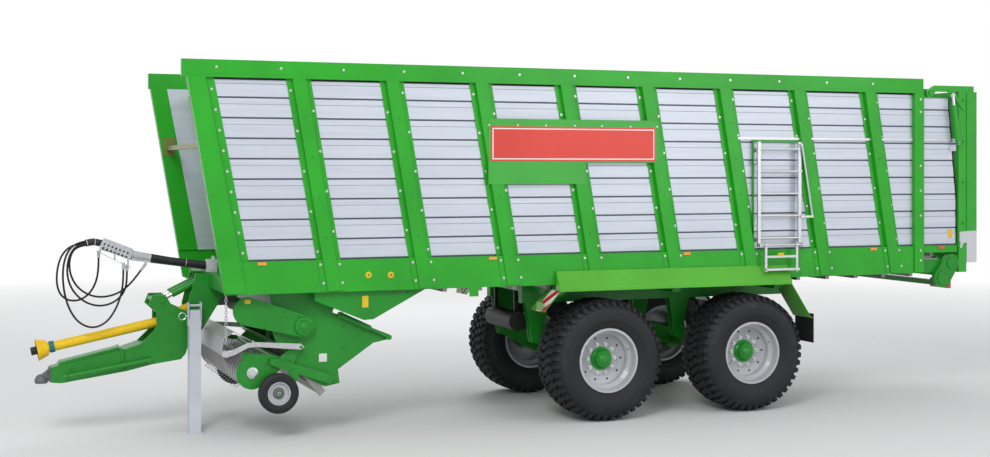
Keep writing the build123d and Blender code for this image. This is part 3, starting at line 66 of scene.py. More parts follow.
# small tools for node trees
class Signal:
    # one number in a node tree; an expression on it adds Math nodes
    def __init__(self, tree, socket):
        self.tree = tree
        self.socket = socket

    def maths(self, operation, first, second=0.0):
        node = self.tree.node("ShaderNodeMath", {0: first, 1: second}, operation=operation)
        return Signal(self.tree, node.outputs[0])

    def __add__(self, other):
        return self.maths("ADD", self, other)

    def __radd__(self, other):
        return self.maths("ADD", other, self)

    def __sub__(self, other):
        return self.maths("SUBTRACT", self, other)

    def __rsub__(self, other):
        return self.maths("SUBTRACT", other, self)

    def __mul__(self, other):
        return self.maths("MULTIPLY", self, other)

    def __truediv__(self, other):
        return self.maths("DIVIDE", self, other)

    def __mod__(self, other):
        return self.maths("FLOORED_MODULO", self, other)

    def __pow__(self, other):
        return self.maths("POWER", self, other)

    def __gt__(self, other):
        return self.maths("GREATER_THAN", self, other)

    def __lt__(self, other):
        return self.maths("LESS_THAN", self, other)

    def __abs__(self):
        return self.maths("ABSOLUTE", self)

    def ramp(self, low, high):
        # 0 at low, 1 at high, and held outside them
        node = self.tree.node("ShaderNodeMapRange", {0: self, 1: low, 2: high})
        return Signal(self.tree, node.outputs[0])


class NodeTree:
    # makes nodes and fills their sockets with plain values, signals or other sockets
    def node(self, kind, values=None, **settings):
        made = self.tree.nodes.new(kind)
        for key, value in settings.items():
            setattr(made, key, value)
        for key, value in (values or {}).items():
            for part in value if isinstance(value, list) else [value]:
                self.feed(made.inputs[key], part)
        return made

    def feed(self, socket, value):
        if isinstance(value, Signal):
            self.tree.links.new(value.socket, socket)
        elif isinstance(value, bpy.types.NodeSocket):
            self.tree.links.new(value, socket)
        else:
            socket.default_value = value

    def signal(self, socket):
        return Signal(self, socket)


finishes = {}


class Finish(NodeTree):
    # a material, kept in finishes; plain values are set on the shader's own sockets
    def __init__(self, name, sheen=0.30, **values):
        finishes[name] = bpy.data.materials.new(name)
        finishes[name].use_nodes = True
        self.tree = finishes[name].node_tree
        self.tree.nodes.clear()
        self.shader = self.node("ShaderNodeBsdfPrincipled")
        self.output = self.node("ShaderNodeOutputMaterial", {"Surface": self.shader.outputs[0]})
        self.place = self.node("ShaderNodeTexCoord").outputs["Object"]
        split = self.node("ShaderNodeSeparateXYZ", {0: self.place})
        self.x, self.y, self.z = (self.signal(output) for output in split.outputs)
        self.shader.inputs["Specular IOR Level"].default_value = sheen
        for key, value in values.items():
            self.shader.inputs[key.replace("_", " ")].default_value = value

    def noise(self, scale, detail=3.0, stretch=(1.0, 1.0, 1.0)):
        spread = self.node("ShaderNodeMapping", {"Vector": self.place, "Scale": stretch}).outputs[0]
        made = self.node("ShaderNodeTexNoise", {"Vector": spread, "Scale": scale, "Detail": detail})
        return self.signal(made.outputs["Fac"])

    def cells(self, scale):
        made = self.node("ShaderNodeTexVoronoi", {"Vector": self.place, "Scale": scale})
        grey = self.node("ShaderNodeSeparateColor", {0: made.outputs["Color"]})
        return self.signal(grey.outputs[0])

    def radiusFrom(self, x, z):
        # distance from a line across the wagon
        return ((self.x - x) ** 2.0 + (self.z - z) ** 2.0) ** 0.5

    def blend(self, share, first, second):
        mix = self.node("ShaderNodeMix", {0: share, 6: first, 7: second}, data_type="RGBA")
        return mix.outputs[2]

    def bump(self, height, strength, distance):
        values = {"Height": height, "Strength": strength, "Distance": distance}
        self.feed(self.shader.inputs["Normal"], self.node("ShaderNodeBump", values).outputs[0])

    def colour(self, value):
        self.feed(self.shader.inputs["Base Color"], value)

    def rough(self, value):
        self.feed(self.shader.inputs["Roughness"], value)


def tint(red, green, blue):
    return (red, green, blue, 1.0)


def darker(colour, share):
    return tint(*(part * share for part in colour))


# finishes
paints = {
    # colour, roughness, coat, dust
    "bodyGreen": {"colour": (0.020, 0.37, 0.016), "rough": 0.34, "coat": 0.12, "dust": 0.08},
    "frameGreen": {"colour": (0.010, 0.255, 0.018), "rough": 0.38, "coat": 0.10, "dust": 0.10},
    "mudguardGreen": {"colour": (0.085, 0.44, 0.022), "rough": 0.24, "coat": 0.25, "dust": 0.05},
    "satinBlack": {"colour": (0.010, 0.011, 0.012), "rough": 0.45, "coat": 0.05, "dust": 0.12},
    "tieOlive": {"colour": (0.17, 0.20, 0.045), "rough": 0.40, "coat": 0.2, "dust": 0.12},
    "rimSilver": {"colour": (0.50, 0.51, 0.54), "rough": 0.36, "coat": 0.1, "dust": 0.10},
    "palePaint": {"colour": (0.64, 0.67, 0.74), "rough": 0.40, "coat": 0.05, "dust": 0.05},
    "labelYellow": {"colour": (0.82, 0.52, 0.02), "rough": 0.45, "coat": 0.1, "dust": 0.05},
    "labelWhite": {"colour": (0.72, 0.72, 0.70), "rough": 0.5, "coat": 0.1, "dust": 0.05},
}
coating = {"cloud": 1.7, "grain": 38.0, "peel": 260.0, "dustTop": 1.9, "deep": 0.80}


def paintCoat(finish, colour, dust):
    # faint cloudiness in the colour, dust that gathers lower down, and a fine orange peel
    cloud = finish.noise(coating["cloud"], 4.0)
    grain = finish.noise(coating["grain"])
    low = (coating["dustTop"] - finish.z).ramp(0.0, coating["dustTop"])
    dusty = low * dust * grain.ramp(0.35, 0.75)
    body = finish.blend(cloud.ramp(0.3, 0.7), darker(colour, coating["deep"]), tint(*colour))
    finish.bump(finish.noise(coating["peel"], 2.0), 0.05, 0.001)
    return finish.blend(dusty, body, tint(0.30, 0.27, 0.21)), grain


def paintFinish(name, colour, rough, coat, dust):
    finish = Finish(name, Coat_Weight=coat, Coat_Roughness=0.08)
    surface, grain = paintCoat(finish, colour, dust)
    finish.colour(surface)
    finish.rough(rough - 0.05 + grain * 0.12)


metals = {
    # colour, roughness, how metallic, size of the spangle or streak
    "aluminium": {"colour": (0.62, 0.63, 0.65), "rough": 0.34, "metal": 0.75, "streak": (2.0, 2.0, 60.0)},
    "zinc": {"colour": (0.54, 0.55, 0.57), "rough": 0.42, "metal": 0.6, "streak": (30.0, 30.0, 30.0)},
    "bareSteel": {"colour": (0.34, 0.33, 0.32), "rough": 0.45, "metal": 0.75, "streak": (14.0, 3.0, 14.0)},
    "chrome": {"colour": (0.74, 0.75, 0.77), "rough": 0.10, "metal": 1.0, "streak": (40.0, 4.0, 4.0)},
    "castIron": {"colour": (0.16, 0.165, 0.17), "rough": 0.58, "metal": 0.4, "streak": (25.0, 25.0, 25.0)},
    "boltZinc": {"colour": (0.66, 0.67, 0.68), "rough": 0.30, "metal": 0.8, "streak": (90.0, 90.0, 90.0)},
}


def metalFinish(name, colour, rough, metal, streak):
    finish = Finish(name, Metallic=metal)
    grain = finish.noise(1.0, 5.0, streak)
    share = grain.ramp(0.3, 0.7) * 0.6 + finish.cells(70.0) * 0.4
    finish.colour(finish.blend(share, darker(colour, 0.78), tint(*colour)))
    finish.rough(rough - 0.06 + share * 0.14)
    finish.bump(grain, 0.08, 0.001)


def plankFinish():
    # pale coated sheet, with the shadow lines of each plank's two steps
    lines = {"gap": 0.015, "step": 0.1465, "halfLine": 0.0035, "outside": 1.18}
    finish = Finish("plankSilver", Metallic=0.35)
    phase = (finish.z - wall["plankLow"]) % wall["plankPitch"]
    gap = phase < lines["gap"]
    line = abs(phase - lines["step"]) < lines["halfLine"]
    streak = finish.noise(1.0, 5.0, (1.2, 1.2, 26.0))
    cloud = finish.noise(0.8, 2.0)
    sheet = finish.blend(streak.ramp(0.3, 0.75) * 0.5 + cloud * 0.5,
                         tint(0.47, 0.505, 0.58), tint(0.60, 0.635, 0.70))
    outside = abs(finish.y) > lines["outside"]
    shaded = finish.blend(gap * outside, sheet, tint(0.075, 0.082, 0.11))
    finish.colour(finish.blend(line * outside * 0.55, shaded, tint(0.15, 0.16, 0.18)))
    finish.rough(0.33 + streak * 0.12)
    finish.bump(streak, 0.05, 0.001)


def rubberFinish(name, colour, rough):
    finish = Finish(name)
    grain = finish.noise(120.0)
    dust = finish.noise(6.0, 4.0).ramp(0.52, 0.8)
    plain = finish.blend(grain, darker(colour, 0.65), tint(*colour))
    finish.colour(finish.blend(dust * 0.14, plain, tint(0.12, 0.11, 0.10)))
    finish.rough(rough + grain * 0.15)
    finish.bump(grain, 0.12, 0.001)


def signFinish():
    # plain red plate with a white border, on a green backing; each edge is half its size in x and z
    edges = {"plate": (0.986, 0.1865), "outer": (0.967, 0.1675), "inner": (0.955, 0.1555)}
    middle = {"x": 0.0745, "z": 3.033}
    finish = Finish("signRed", Coat_Weight=0.35, Coat_Roughness=0.1)
    green, grain = paintCoat(finish, paints["bodyGreen"]["colour"], 0.05)
    across, up = abs(finish.x - middle["x"]), abs(finish.z - middle["z"])
    within = {edge: (across < half[0]) * (up < half[1]) for edge, half in edges.items()}
    red = finish.blend(finish.noise(1.1).ramp(0.3, 0.7), tint(0.58, 0.024, 0.010), tint(0.68, 0.034, 0.014))
    edged = finish.blend(within["outer"] - within["inner"], red, tint(0.74, 0.73, 0.71))
    finish.colour(finish.blend(within["plate"], green, edged))
    finish.rough(0.28 + grain * 0.1)


def ringRubber(name, wheelX, wheelZ, rings):
    # tyre rubber with raised rings on the sidewall; each ring is a radius and a width
    finish = Finish(name)
    radius = finish.radiusFrom(wheelX, wheelZ)
    grain = finish.noise(120.0)
    dust = finish.noise(6.0, 4.0).ramp(0.5, 0.8) * (radius > rings[-1][0])
    plain = finish.blend(grain, tint(0.011, 0.0115, 0.013), tint(0.019, 0.020, 0.023))
    relief = grain * 0.08
    for middle, width in rings:
        relief = relief + (abs(radius - middle) < width / 2)
    finish.colour(finish.blend(dust * 0.15, plain, tint(0.12, 0.11, 0.10)))
    finish.rough(0.56 + grain * 0.15)
    finish.bump(relief, 0.6, 0.002)


def rimFinish(name, wheelX, wheelZ, hubRadius, hubColour):
    # silver disc with painted shade that darkens its well towards the hub, and the hub in its own colour
    finish = Finish(name, Coat_Weight=0.3, Coat_Roughness=0.1)
    silver, grain = paintCoat(finish, paints["rimSilver"]["colour"], 0.12)
    radius = finish.radiusFrom(wheelX, wheelZ)
    # painted shade: up to a quarter of the way to dark grey in the well just outside the hub
    well = (radius > hubRadius) * (1.0 - radius.ramp(hubRadius, hubRadius * 2.2)) * 0.25
    wellShaded = finish.blend(well, silver, tint(0.16, 0.17, 0.18))
    finish.colour(finish.blend(radius < hubRadius, wellShaded, tint(*hubColour)))
    finish.rough(0.32 + grain * 0.12)


def shaftFinish(name, tip, along, bands):
    # yellow guard tube; tip and along are in x and z, and each band is start, end and colour
    finish = Finish(name)
    reach = (finish.x - tip[0]) * along[0] + (finish.z - tip[1]) * along[1]
    grain = finish.noise(20.0, 4.0)
    surface = finish.blend(grain.ramp(0.4, 0.8) * 0.5, tint(0.86, 0.56, 0.012), tint(0.66, 0.42, 0.02))
    for start, end, colour in bands:
        surface = finish.blend((reach > start) * (reach < end), surface, tint(*colour))
    finish.colour(surface)
    finish.rough(0.42 + grain * 0.15)
    finish.bump(grain, 0.08, 0.001)


def lampFinish():
    # amber side lenses, and red clusters at the back
    lens = {"ribs": 160.0, "rearFrom": 4.9}
    finish = Finish("lampLens", Coat_Weight=0.8, Coat_Roughness=0.04)
    ribs = (finish.z * lens["ribs"]) % 1.0
    glass = finish.blend(finish.x > lens["rearFrom"], tint(0.85, 0.26, 0.01), tint(0.55, 0.012, 0.012))
    # each rib grades to a paler orange across its width: a painted highlight on the ribs
    finish.colour(finish.blend(ribs * 0.25, glass, tint(0.9, 0.55, 0.25)))
    finish.rough(0.14 + ribs * 0.08)
    finish.bump(ribs, 0.25, 0.002)


def tailFinish():
    # green frame with a bare metal foot on each side flange
    foot = {"outside": 1.2392, "top": 2.005}
    finish = Finish("tailGreen", Coat_Weight=0.35, Coat_Roughness=0.1)
    surface, grain = paintCoat(finish, paints["bodyGreen"]["colour"], 0.1)
    bare = (abs(finish.y) > foot["outside"]) * (finish.z < foot["top"])
    finish.colour(finish.blend(bare, surface, tint(0.55, 0.56, 0.58)))
    finish.rough(0.33 + grain * 0.12)


def holderFinish():
    # black ribbed sleeve over the bundle, bare metal bracket, couplers and block
    holder = {
        "front": -4.90, "under": 1.941, "fall": 0.29, "sleeveEnd": -3.722, "bracketFace": -0.1470,
        "couplerEnd": -4.30, "couplerTop": 1.905, "ribs": 62.0,
    }
    finish = Finish("holderMix", sheen=0.35)
    underside = holder["under"] - (finish.x - holder["front"]) * holder["fall"]
    sleeve = (finish.x < holder["sleeveEnd"]) * (finish.y > holder["bracketFace"]) * (finish.z > underside)
    coupler = (finish.x < holder["couplerEnd"]) * (finish.z < holder["couplerTop"])
    soft = sleeve * (1.0 - coupler)
    ribs = (finish.x * holder["ribs"]) % 1.0
    spangle = finish.cells(60.0)
    metal = finish.blend(spangle, tint(0.42, 0.43, 0.45), tint(0.56, 0.57, 0.60))
    # each rib grades from black to dark grey across its width: painted light and shade on the corrugations
    rubber = finish.blend(ribs, tint(0.006, 0.006, 0.007), tint(0.022, 0.022, 0.025))
    finish.colour(finish.blend(soft, metal, rubber))
    finish.rough(0.38 + spangle * 0.1 + soft * 0.1)
    finish.bump(ribs * soft, 0.5, 0.004)


def stripeFinish():
    # diagonal red and white reflective bands
    finish = Finish("stripeMarker")
    band = ((finish.y + finish.z) * 4.6 + 0.2) % 1.0 < 0.5
    grain = finish.noise(220.0, 2.0)
    finish.colour(finish.blend(band, tint(0.60, 0.012, 0.012), tint(0.78, 0.78, 0.78)))
    finish.rough(0.30 + grain * 0.2)
    finish.bump(grain, 0.1, 0.0005)


for paintName, spec in paints.items():
    paintFinish(paintName, **spec)
for metalName, spec in metals.items():
    metalFinish(metalName, **spec)
rubberFinish("tyreRubber", (0.017, 0.018, 0.020), 0.60)
rubberFinish("hoseRubber", (0.010, 0.010, 0.011), 0.36)
rubberFinish("flapRubber", (0.016, 0.016, 0.018), 0.55)
roadRings = ((0.392, 0.008), (0.432, 0.006), (0.505, 0.004), (0.520, 0.003))
gaugeRings = ((0.142, 0.004), (0.170, 0.005), (0.200, 0.004))
hubGreen = paints["frameGreen"]["colour"]
for axle in ("front", "rear"):
    ringRubber("rubber" + axle.title(), roadWheel[axle], roadWheel["height"], roadRings)
    rimFinish("rim" + axle.title(), roadWheel[axle], roadWheel["height"], 0.131, hubGreen)
ringRubber("rubberGauge", gaugeWheel["x"], gaugeWheel["z"], gaugeRings)
rimFinish("gaugeRim", gaugeWheel["x"], gaugeWheel["z"], 0.060, (0.10, 0.105, 0.11))
shaftFinish("shaftFront", (-5.4918, 0.887), (0.9805, 0.1966),
            ((-0.1, 0.0605, (0.02, 0.02, 0.022)), (0.184, 0.236, (0.01, 0.16, 0.17))))
shaftFinish("shaftRear", (-4.010, 1.240), (0.9284, 0.3714), ((0.395, 0.60, (0.03, 0.03, 0.032)),))
for makeFinish in (plankFinish, signFinish, lampFinish, tailFinish, holderFinish, stripeFinish):
    makeFinish()
print("finishes made:", len(finishes))

# finishes of the carried-over nodes
finishNodes = {
    "bodyGreen": ("side_frame_left", "side_frame_right", "front_wall", "tail_barrels"),
    "frameGreen": ("chassis", "floor_drive", "axle_front", "axle_rear", "knuckle_left", "knuckle_right",
                   "tie_rod", "rotor_housing", "drive_case", "feed_rotor", "pickup_frame", "drawbar",
                   "draw_barrels"),
    "mudguardGreen": ("mudguards",),
    "tailGreen": ("tailgate",),
    "tieOlive": ("tie_bar",),
    "plankSilver": ("side_planks_left", "side_planks_right", "side_door"),
    "signRed": ("sign_panels",),
    "satinBlack": ("air_tank",),
    "palePaint": ("jack_leg",),
    "flapRubber": ("mud_flaps",),
    "bareSteel": ("floor_deck", "floor_chains", "knife_bank", "pickup_reel", "guard_tines"),
    "castIron": ("main_gearbox", "ball_coupling"),
    "zinc": ("strippers", "crop_guard"),
    "chrome": ("draw_rods", "tail_rods"),
    "aluminium": ("ladder", "ladder_step"),
    "lampLens": ("lamps",),
    "holderMix": ("hose_holder",),
    "shaftFront": ("pto_front",),
    "shaftRear": ("pto_rear",),
    "rimFront": ("rim_front_left", "rim_front_right"),
    "rimRear": ("rim_rear_left", "rim_rear_right"),
    "gaugeRim": ("gauge_rim_left", "gauge_rim_right"),
    "rubberGauge": ("gauge_tyre_left", "gauge_tyre_right"),
}
for finishName, nodeNames in finishNodes.items():
    for nodeName in nodeNames:
        slots = nodes[nodeName].data.materials
        slots.clear()
        slots.append(finishes[finishName])
print("carried-over nodes finished:", sum(map(len, finishNodes.values())))


# shapes
def keep(name, mesh, finish, body, smoothTo=35.0):
    # a mesh becomes a piece that rides on a body
    mesh.materials.clear()
    mesh.materials.append(finishes[finish])
    mesh.shade_smooth()
    mesh.set_sharp_from_angle(angle=math.radians(smoothTo))
    piece = bpy.data.objects.new(name, mesh)
    scene.collection.objects.link(piece)
    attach(piece, body)
    return piece


class Shape:
    # closed forms, gathered in one mesh
    def __init__(self):
        self.mesh = bmesh.new()

    def prism(self, outline, low, high, bevel=0.0):
        # an outline in x and z, from y low to y high
        rings = [[self.mesh.verts.new((x, y, z)) for x, z in outline] for y in (low, high)]
        faces = [self.mesh.faces.new(rings[0]), self.mesh.faces.new(rings[1])]
        for here in range(len(outline)):
            there = (here + 1) % len(outline)
            corners = (rings[0][here], rings[0][there], rings[1][there], rings[1][here])
            faces.append(self.mesh.faces.new(corners))
        if bevel:
            edges = list({edge for face in faces for edge in face.edges})
            bmesh.ops.bevel(self.mesh, geom=edges, offset=bevel, segments=2, affect="EDGES")

    def block(self, xSpan, ySpan, zSpan, bevel=0.0):
        outline = [(xSpan[0], zSpan[0]), (xSpan[1], zSpan[0]), (xSpan[1], zSpan[1]), (xSpan[0], zSpan[1])]
        self.prism(outline, ySpan[0], ySpan[1], bevel)

    def turned(self, profile, origin, axis, segments, closed=False):
        # profile is (distance along the axis, radius); a radius of 0 makes a pole
        turn = Vector(axis).to_track_quat("Z", "X").to_matrix()
        rings = []
        for reach, radius in profile:
            angles = [math.tau * step / segments for step in range(segments if radius else 1)]
            circle = [Vector((radius * math.cos(angle), radius * math.sin(angle), reach)) for angle in angles]
            rings.append([self.mesh.verts.new(Vector(origin) + turn @ corner) for corner in circle])
        pairs = list(zip(rings, rings[1:])) + ([(rings[-1], rings[0])] if closed else [])
        for low, high in pairs:
            for step in range(segments):
                after = (step + 1) % segments
                corners = (low[step % len(low)], low[after % len(low)],
                           high[after % len(high)], high[step % len(high)])
                self.mesh.faces.new(list(dict.fromkeys(corners)))

    def disc(self, radius, height, origin, axis, segments):
        self.turned([(0.0, 0.0), (0.0, radius), (height, radius), (height, 0.0)], origin, axis, segments)

    def ring(self, middle, axis, radius, wire, segments, sides=8):
        # a round ring of round wire
        angles = [math.tau * step / sides for step in range(sides)]
        profile = [(wire * math.sin(angle), radius + wire * math.cos(angle)) for angle in angles]
        self.turned(profile, middle, axis, segments, closed=True)

    def done(self, name, finish, body, smoothTo=35.0):
        bmesh.ops.recalc_face_normals(self.mesh, faces=self.mesh.faces)
        mesh = bpy.data.meshes.new(name)
        self.mesh.to_mesh(mesh)
        self.mesh.free()
        return keep(name, mesh, finish, body, smoothTo)


def smoothLine(name, points, radius):
    # a NURBS curve of one open spline, as thick as its hose
    data = bpy.data.curves.new(name, "CURVE")
    data.dimensions = "3D"
    data.resolution_u = 8
    data.bevel_depth = radius
    data.bevel_resolution = 3
    data.use_fill_caps = True
    spline = data.splines.new("NURBS")
    spline.points.add(len(points) - 1)
    for point, place in zip(spline.points, points):
        point.co = (*place, 1.0)
    spline.order_u = 3
    spline.use_endpoint_u = True
    piece = bpy.data.objects.new(name, data)
    scene.collection.objects.link(piece)
    return piece


# hoses: loose loops from the sleeve's end back to the couplers
hoseSet = {
    # thickness, and each route from sleeve to coupler
    "size": 0.021,
    "hose_one": [
        (-4.963344, -0.118, 2.01511), (-5.048057, -0.118, 2.000285), (-5.13, -0.13, 1.932),
        (-5.18, -0.145, 1.808), (-5.192, -0.155, 1.645), (-5.172, -0.162, 1.465), (-5.118, -0.165, 1.3),
        (-5.026, -0.165, 1.172), (-4.89, -0.165, 1.116), (-4.758, -0.165, 1.168), (-4.668, -0.165, 1.292),
        (-4.61, -0.165, 1.44), (-4.585, -0.165, 1.59), (-4.585, -0.165, 1.719125),
    ],
    "hose_two": [
        (-4.960965, -0.09, 2.001516), (-5.043708, -0.09, 1.987036), (-5.134, -0.086, 1.95),
        (-5.205, -0.084, 1.86), (-5.24, -0.084, 1.73), (-5.246, -0.084, 1.585), (-5.21, -0.084, 1.465),
        (-5.118, -0.084, 1.4), (-5.0, -0.084, 1.408), (-4.908, -0.084, 1.48), (-4.85, -0.084, 1.59),
        (-4.826, -0.084, 1.724), (-4.826, -0.084, 1.84565),
    ],
    "hose_three": [
        (-4.95931, -0.132, 1.99206), (-5.044023, -0.132, 1.977235), (-5.106, -0.136, 1.91),
        (-5.142, -0.138, 1.8), (-5.146, -0.138, 1.672), (-5.113, -0.138, 1.552), (-5.045, -0.138, 1.452),
        (-4.95, -0.138, 1.378), (-4.835, -0.138, 1.342), (-4.715, -0.138, 1.358), (-4.618, -0.138, 1.42),
        (-4.562, -0.138, 1.506), (-4.545, -0.138, 1.605), (-4.545, -0.138, 1.698125),
    ],
    "hose_four": [
        (-4.956552, -0.104, 1.976299), (-5.039295, -0.104, 1.961819), (-5.098, -0.108, 1.903),
        (-5.124, -0.111, 1.8), (-5.112, -0.111, 1.675), (-5.055, -0.111, 1.558), (-4.96, -0.111, 1.475),
        (-4.845, -0.111, 1.434), (-4.725, -0.111, 1.438), (-4.615, -0.111, 1.476),
        (-4.525, -0.111, 1.545), (-4.453, -0.111, 1.628), (-4.4, -0.111, 1.7),
    ],
}
hoseLength = {"hose_one": 1.861, "hose_two": 1.410, "hose_three": 1.421, "hose_four": 1.310}
for hoseName, length in hoseLength.items():
    route = hoseSet[hoseName]
    hose = smoothLine(hoseName + "_line", route, hoseSet["size"] / 2)
    hose.data.materials.append(finishes["hoseRubber"])
    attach(hose, "wagon")
    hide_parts(hoseName)
print("hoses laid")


# Geometry Nodes: bolt heads, tread blocks and chain links
class Plan(NodeTree):
    # a node group that takes points, the inputs given as label: kind, and a finish
    def __init__(self, name, inputs):
        self.tree = bpy.data.node_groups.new(name, "GeometryNodeTree")
        face = self.tree.interface
        face.new_socket("Geometry", in_out="INPUT", socket_type="NodeSocketGeometry")
        for label, kind in {**inputs, "Finish": "Material"}.items():
            face.new_socket(label, in_out="INPUT", socket_type="NodeSocket" + kind)
        face.new_socket("Geometry", in_out="OUTPUT", socket_type="NodeSocketGeometry")
        self.given = self.tree.nodes.new("NodeGroupInput").outputs
        self.result = self.tree.nodes.new("NodeGroupOutput")

    def vector(self, x=0.0, y=0.0, z=0.0):
        return self.node("ShaderNodeCombineXYZ", {0: x, 1: y, 2: z}).outputs[0]

    def size(self, label):
        return self.signal(self.given[label])

    def facing(self, axis):
        # turns this axis of a copy the way its point faces
        way = self.node("GeometryNodeInputNamedAttribute", {"Name": "facing"}, data_type="FLOAT_VECTOR")
        values = {"Vector": way.outputs[0]}
        return self.node("FunctionNodeAlignRotationToVector", values, axis=axis).outputs[0]

    def turned(self, rotation, angles):
        return self.node("FunctionNodeRotateRotation", {0: rotation, 1: angles},
                         rotation_space="LOCAL").outputs[0]

    def cylinder(self, sides, radius, height, middle):
        # stands on end, with its middle at this height
        values = {"Vertices": sides, "Radius": radius, "Depth": height}
        upright = self.node("GeometryNodeMeshCylinder", values)
        return self.placed(upright, "Translation", self.vector(z=middle))

    def placed(self, piece, label, value):
        return self.node("GeometryNodeTransform", {"Geometry": piece.outputs[0], label: value})

    def copies(self, points, piece, rotation):
        return self.node("GeometryNodeInstanceOnPoints", {
            "Points": points, "Instance": piece.outputs[0], "Rotation": rotation})

    def close(self, geometry):
        solid = self.node("GeometryNodeRealizeInstances", {"Geometry": geometry.outputs[0]})
        painted = self.node("GeometryNodeSetMaterial", {
            "Geometry": solid.outputs[0], "Material": self.given["Finish"]})
        self.feed(self.result.inputs[0], painted.outputs[0])


def grow(name, plan, sizes, finish, body, start=None, smoothTo=35.0):
    # runs a plan once and keeps its result as a plain mesh
    base = bpy.data.objects.new(name + "Base", start or bpy.data.meshes.new(name + "Base"))
    scene.collection.objects.link(base)
    modifier = base.modifiers.new("plan", "NODES")
    modifier.node_group = plan.tree
    wanted = dict(sizes, Finish=finishes[finish])
    for item in plan.tree.interface.items_tree:
        if item.in_out == "INPUT" and item.name in wanted:
            modifier[item.identifier] = wanted[item.name]
    base.update_tag()
    bpy.context.view_layer.update()
    result = bpy.data.meshes.new_from_object(base.evaluated_get(bpy.context.evaluated_depsgraph_get()))
    result.name = name
    bpy.data.objects.remove(base)
    return keep(name, result, finish, body, smoothTo)


def spots(name, places):
    # a mesh of loose points; each row is a place and the way it faces
    mesh = bpy.data.meshes.new(name)
    mesh.from_pydata([place for place, facing in places], [], [])
    facings = mesh.attributes.new("facing", "FLOAT_VECTOR", "POINT")
    for entry, (place, facing) in zip(facings.data, places):
        entry.vector = facing
    return mesh


def boltsAt(name, places, radius, height, seed, finish, body):
    sizes = {"Radius": radius, "Height": height, "Seed": seed}
    grow(name, boltPlan, sizes, finish, body, spots(name + "Spots", places))


# bolt heads on washers, each turned by its own random angle; sizes are shares of a bolt's own
boltLook = {"sides": 6, "middle": 0.8, "washerSides": 14, "washerRadius": 1.6, "washerHeight": 0.3}
boltPlan = Plan("boltHeads", {"Radius": "Float", "Height": "Float", "Seed": "Int"})
headRadius, headHeight = boltPlan.size("Radius"), boltPlan.size("Height")
head = boltPlan.cylinder(boltLook["sides"], headRadius, headHeight, headHeight * boltLook["middle"])
washer = boltPlan.cylinder(boltLook["washerSides"], headRadius * boltLook["washerRadius"],
                           headHeight * boltLook["washerHeight"], headHeight * (boltLook["washerHeight"] / 2))
bolt = boltPlan.node("GeometryNodeJoinGeometry", {0: [head.outputs[0], washer.outputs[0]]})
chance = boltPlan.node("FunctionNodeRandomValue", {"Seed": boltPlan.given["Seed"]})
spun = boltPlan.turned(boltPlan.facing("Z"), boltPlan.vector(z=chance.outputs[1]))
boltPlan.close(boltPlan.copies(boltPlan.given["Geometry"], bolt, spun))

# one ring of tapered tread blocks
treadTaper = 0.16
treadPlan = Plan("treadBlocks", {
    "Count": "Int", "Radius": "Float", "Side": "Float", "Length": "Float", "Width": "Float",
    "Height": "Float", "Slant": "Float", "Tilt": "Float", "Phase": "Float", "Centre": "Vector"})
given = treadPlan.given
cube = treadPlan.node("GeometryNodeMeshCube", {
    "Size": treadPlan.vector(given["Length"], given["Width"], given["Height"])})
corner = treadPlan.node("ShaderNodeSeparateXYZ", {0: treadPlan.node("GeometryNodeInputPosition").outputs[0]})
cornerX, cornerY, cornerZ = (treadPlan.signal(output) for output in corner.outputs)
taper = (cornerZ > 0.0) * -treadTaper
tapered = treadPlan.node("GeometryNodeSetPosition", {
    "Geometry": cube.outputs[0],
    "Offset": treadPlan.vector(cornerX * taper, cornerY * taper, treadPlan.size("Height") * -0.5)})
angled = treadPlan.placed(tapered, "Rotation", treadPlan.vector(given["Tilt"], 0.0, given["Slant"]))
order = treadPlan.signal(treadPlan.node("GeometryNodeInputIndex").outputs[0])
angle = (order + treadPlan.size("Phase")) * math.tau / treadPlan.size("Count")
around = treadPlan.vector(treadPlan.size("Radius") * angle.maths("SINE", angle), given["Side"],
                          treadPlan.size("Radius") * angle.maths("COSINE", angle))
ringPoints = treadPlan.node("GeometryNodePoints", {"Count": given["Count"], "Position": around})
blocks = treadPlan.copies(ringPoints.outputs[0], angled, treadPlan.vector(y=angle))
treadPlan.close(treadPlan.placed(blocks, "Translation", given["Centre"]))

# oval links of round wire, every other one turned by a right angle
linkLook = {"steps": 12, "wireSides": 6, "narrow": (0.62, 1.0, 1.0)}
chainPlan = Plan("chainLinks", {"Link": "Float", "Wire": "Float"})
loop = chainPlan.node("GeometryNodeCurvePrimitiveCircle", {
    "Resolution": linkLook["steps"], "Radius": chainPlan.given["Link"]})
wire = chainPlan.node("GeometryNodeCurvePrimitiveCircle", {
    "Resolution": linkLook["wireSides"], "Radius": chainPlan.given["Wire"]})
narrow = chainPlan.placed(loop, "Scale", linkLook["narrow"])
link = chainPlan.node("GeometryNodeCurveToMesh", {
    "Curve": narrow.outputs[0], "Profile Curve": wire.outputs[0]})
number = chainPlan.signal(chainPlan.node("GeometryNodeInputIndex").outputs[0])
rolled = chainPlan.turned(chainPlan.facing("Y"), chainPlan.vector(y=(number % 2.0) * (math.pi / 2)))
chainPlan.close(chainPlan.copies(chainPlan.given["Geometry"], link, rolled))
print("plans built")

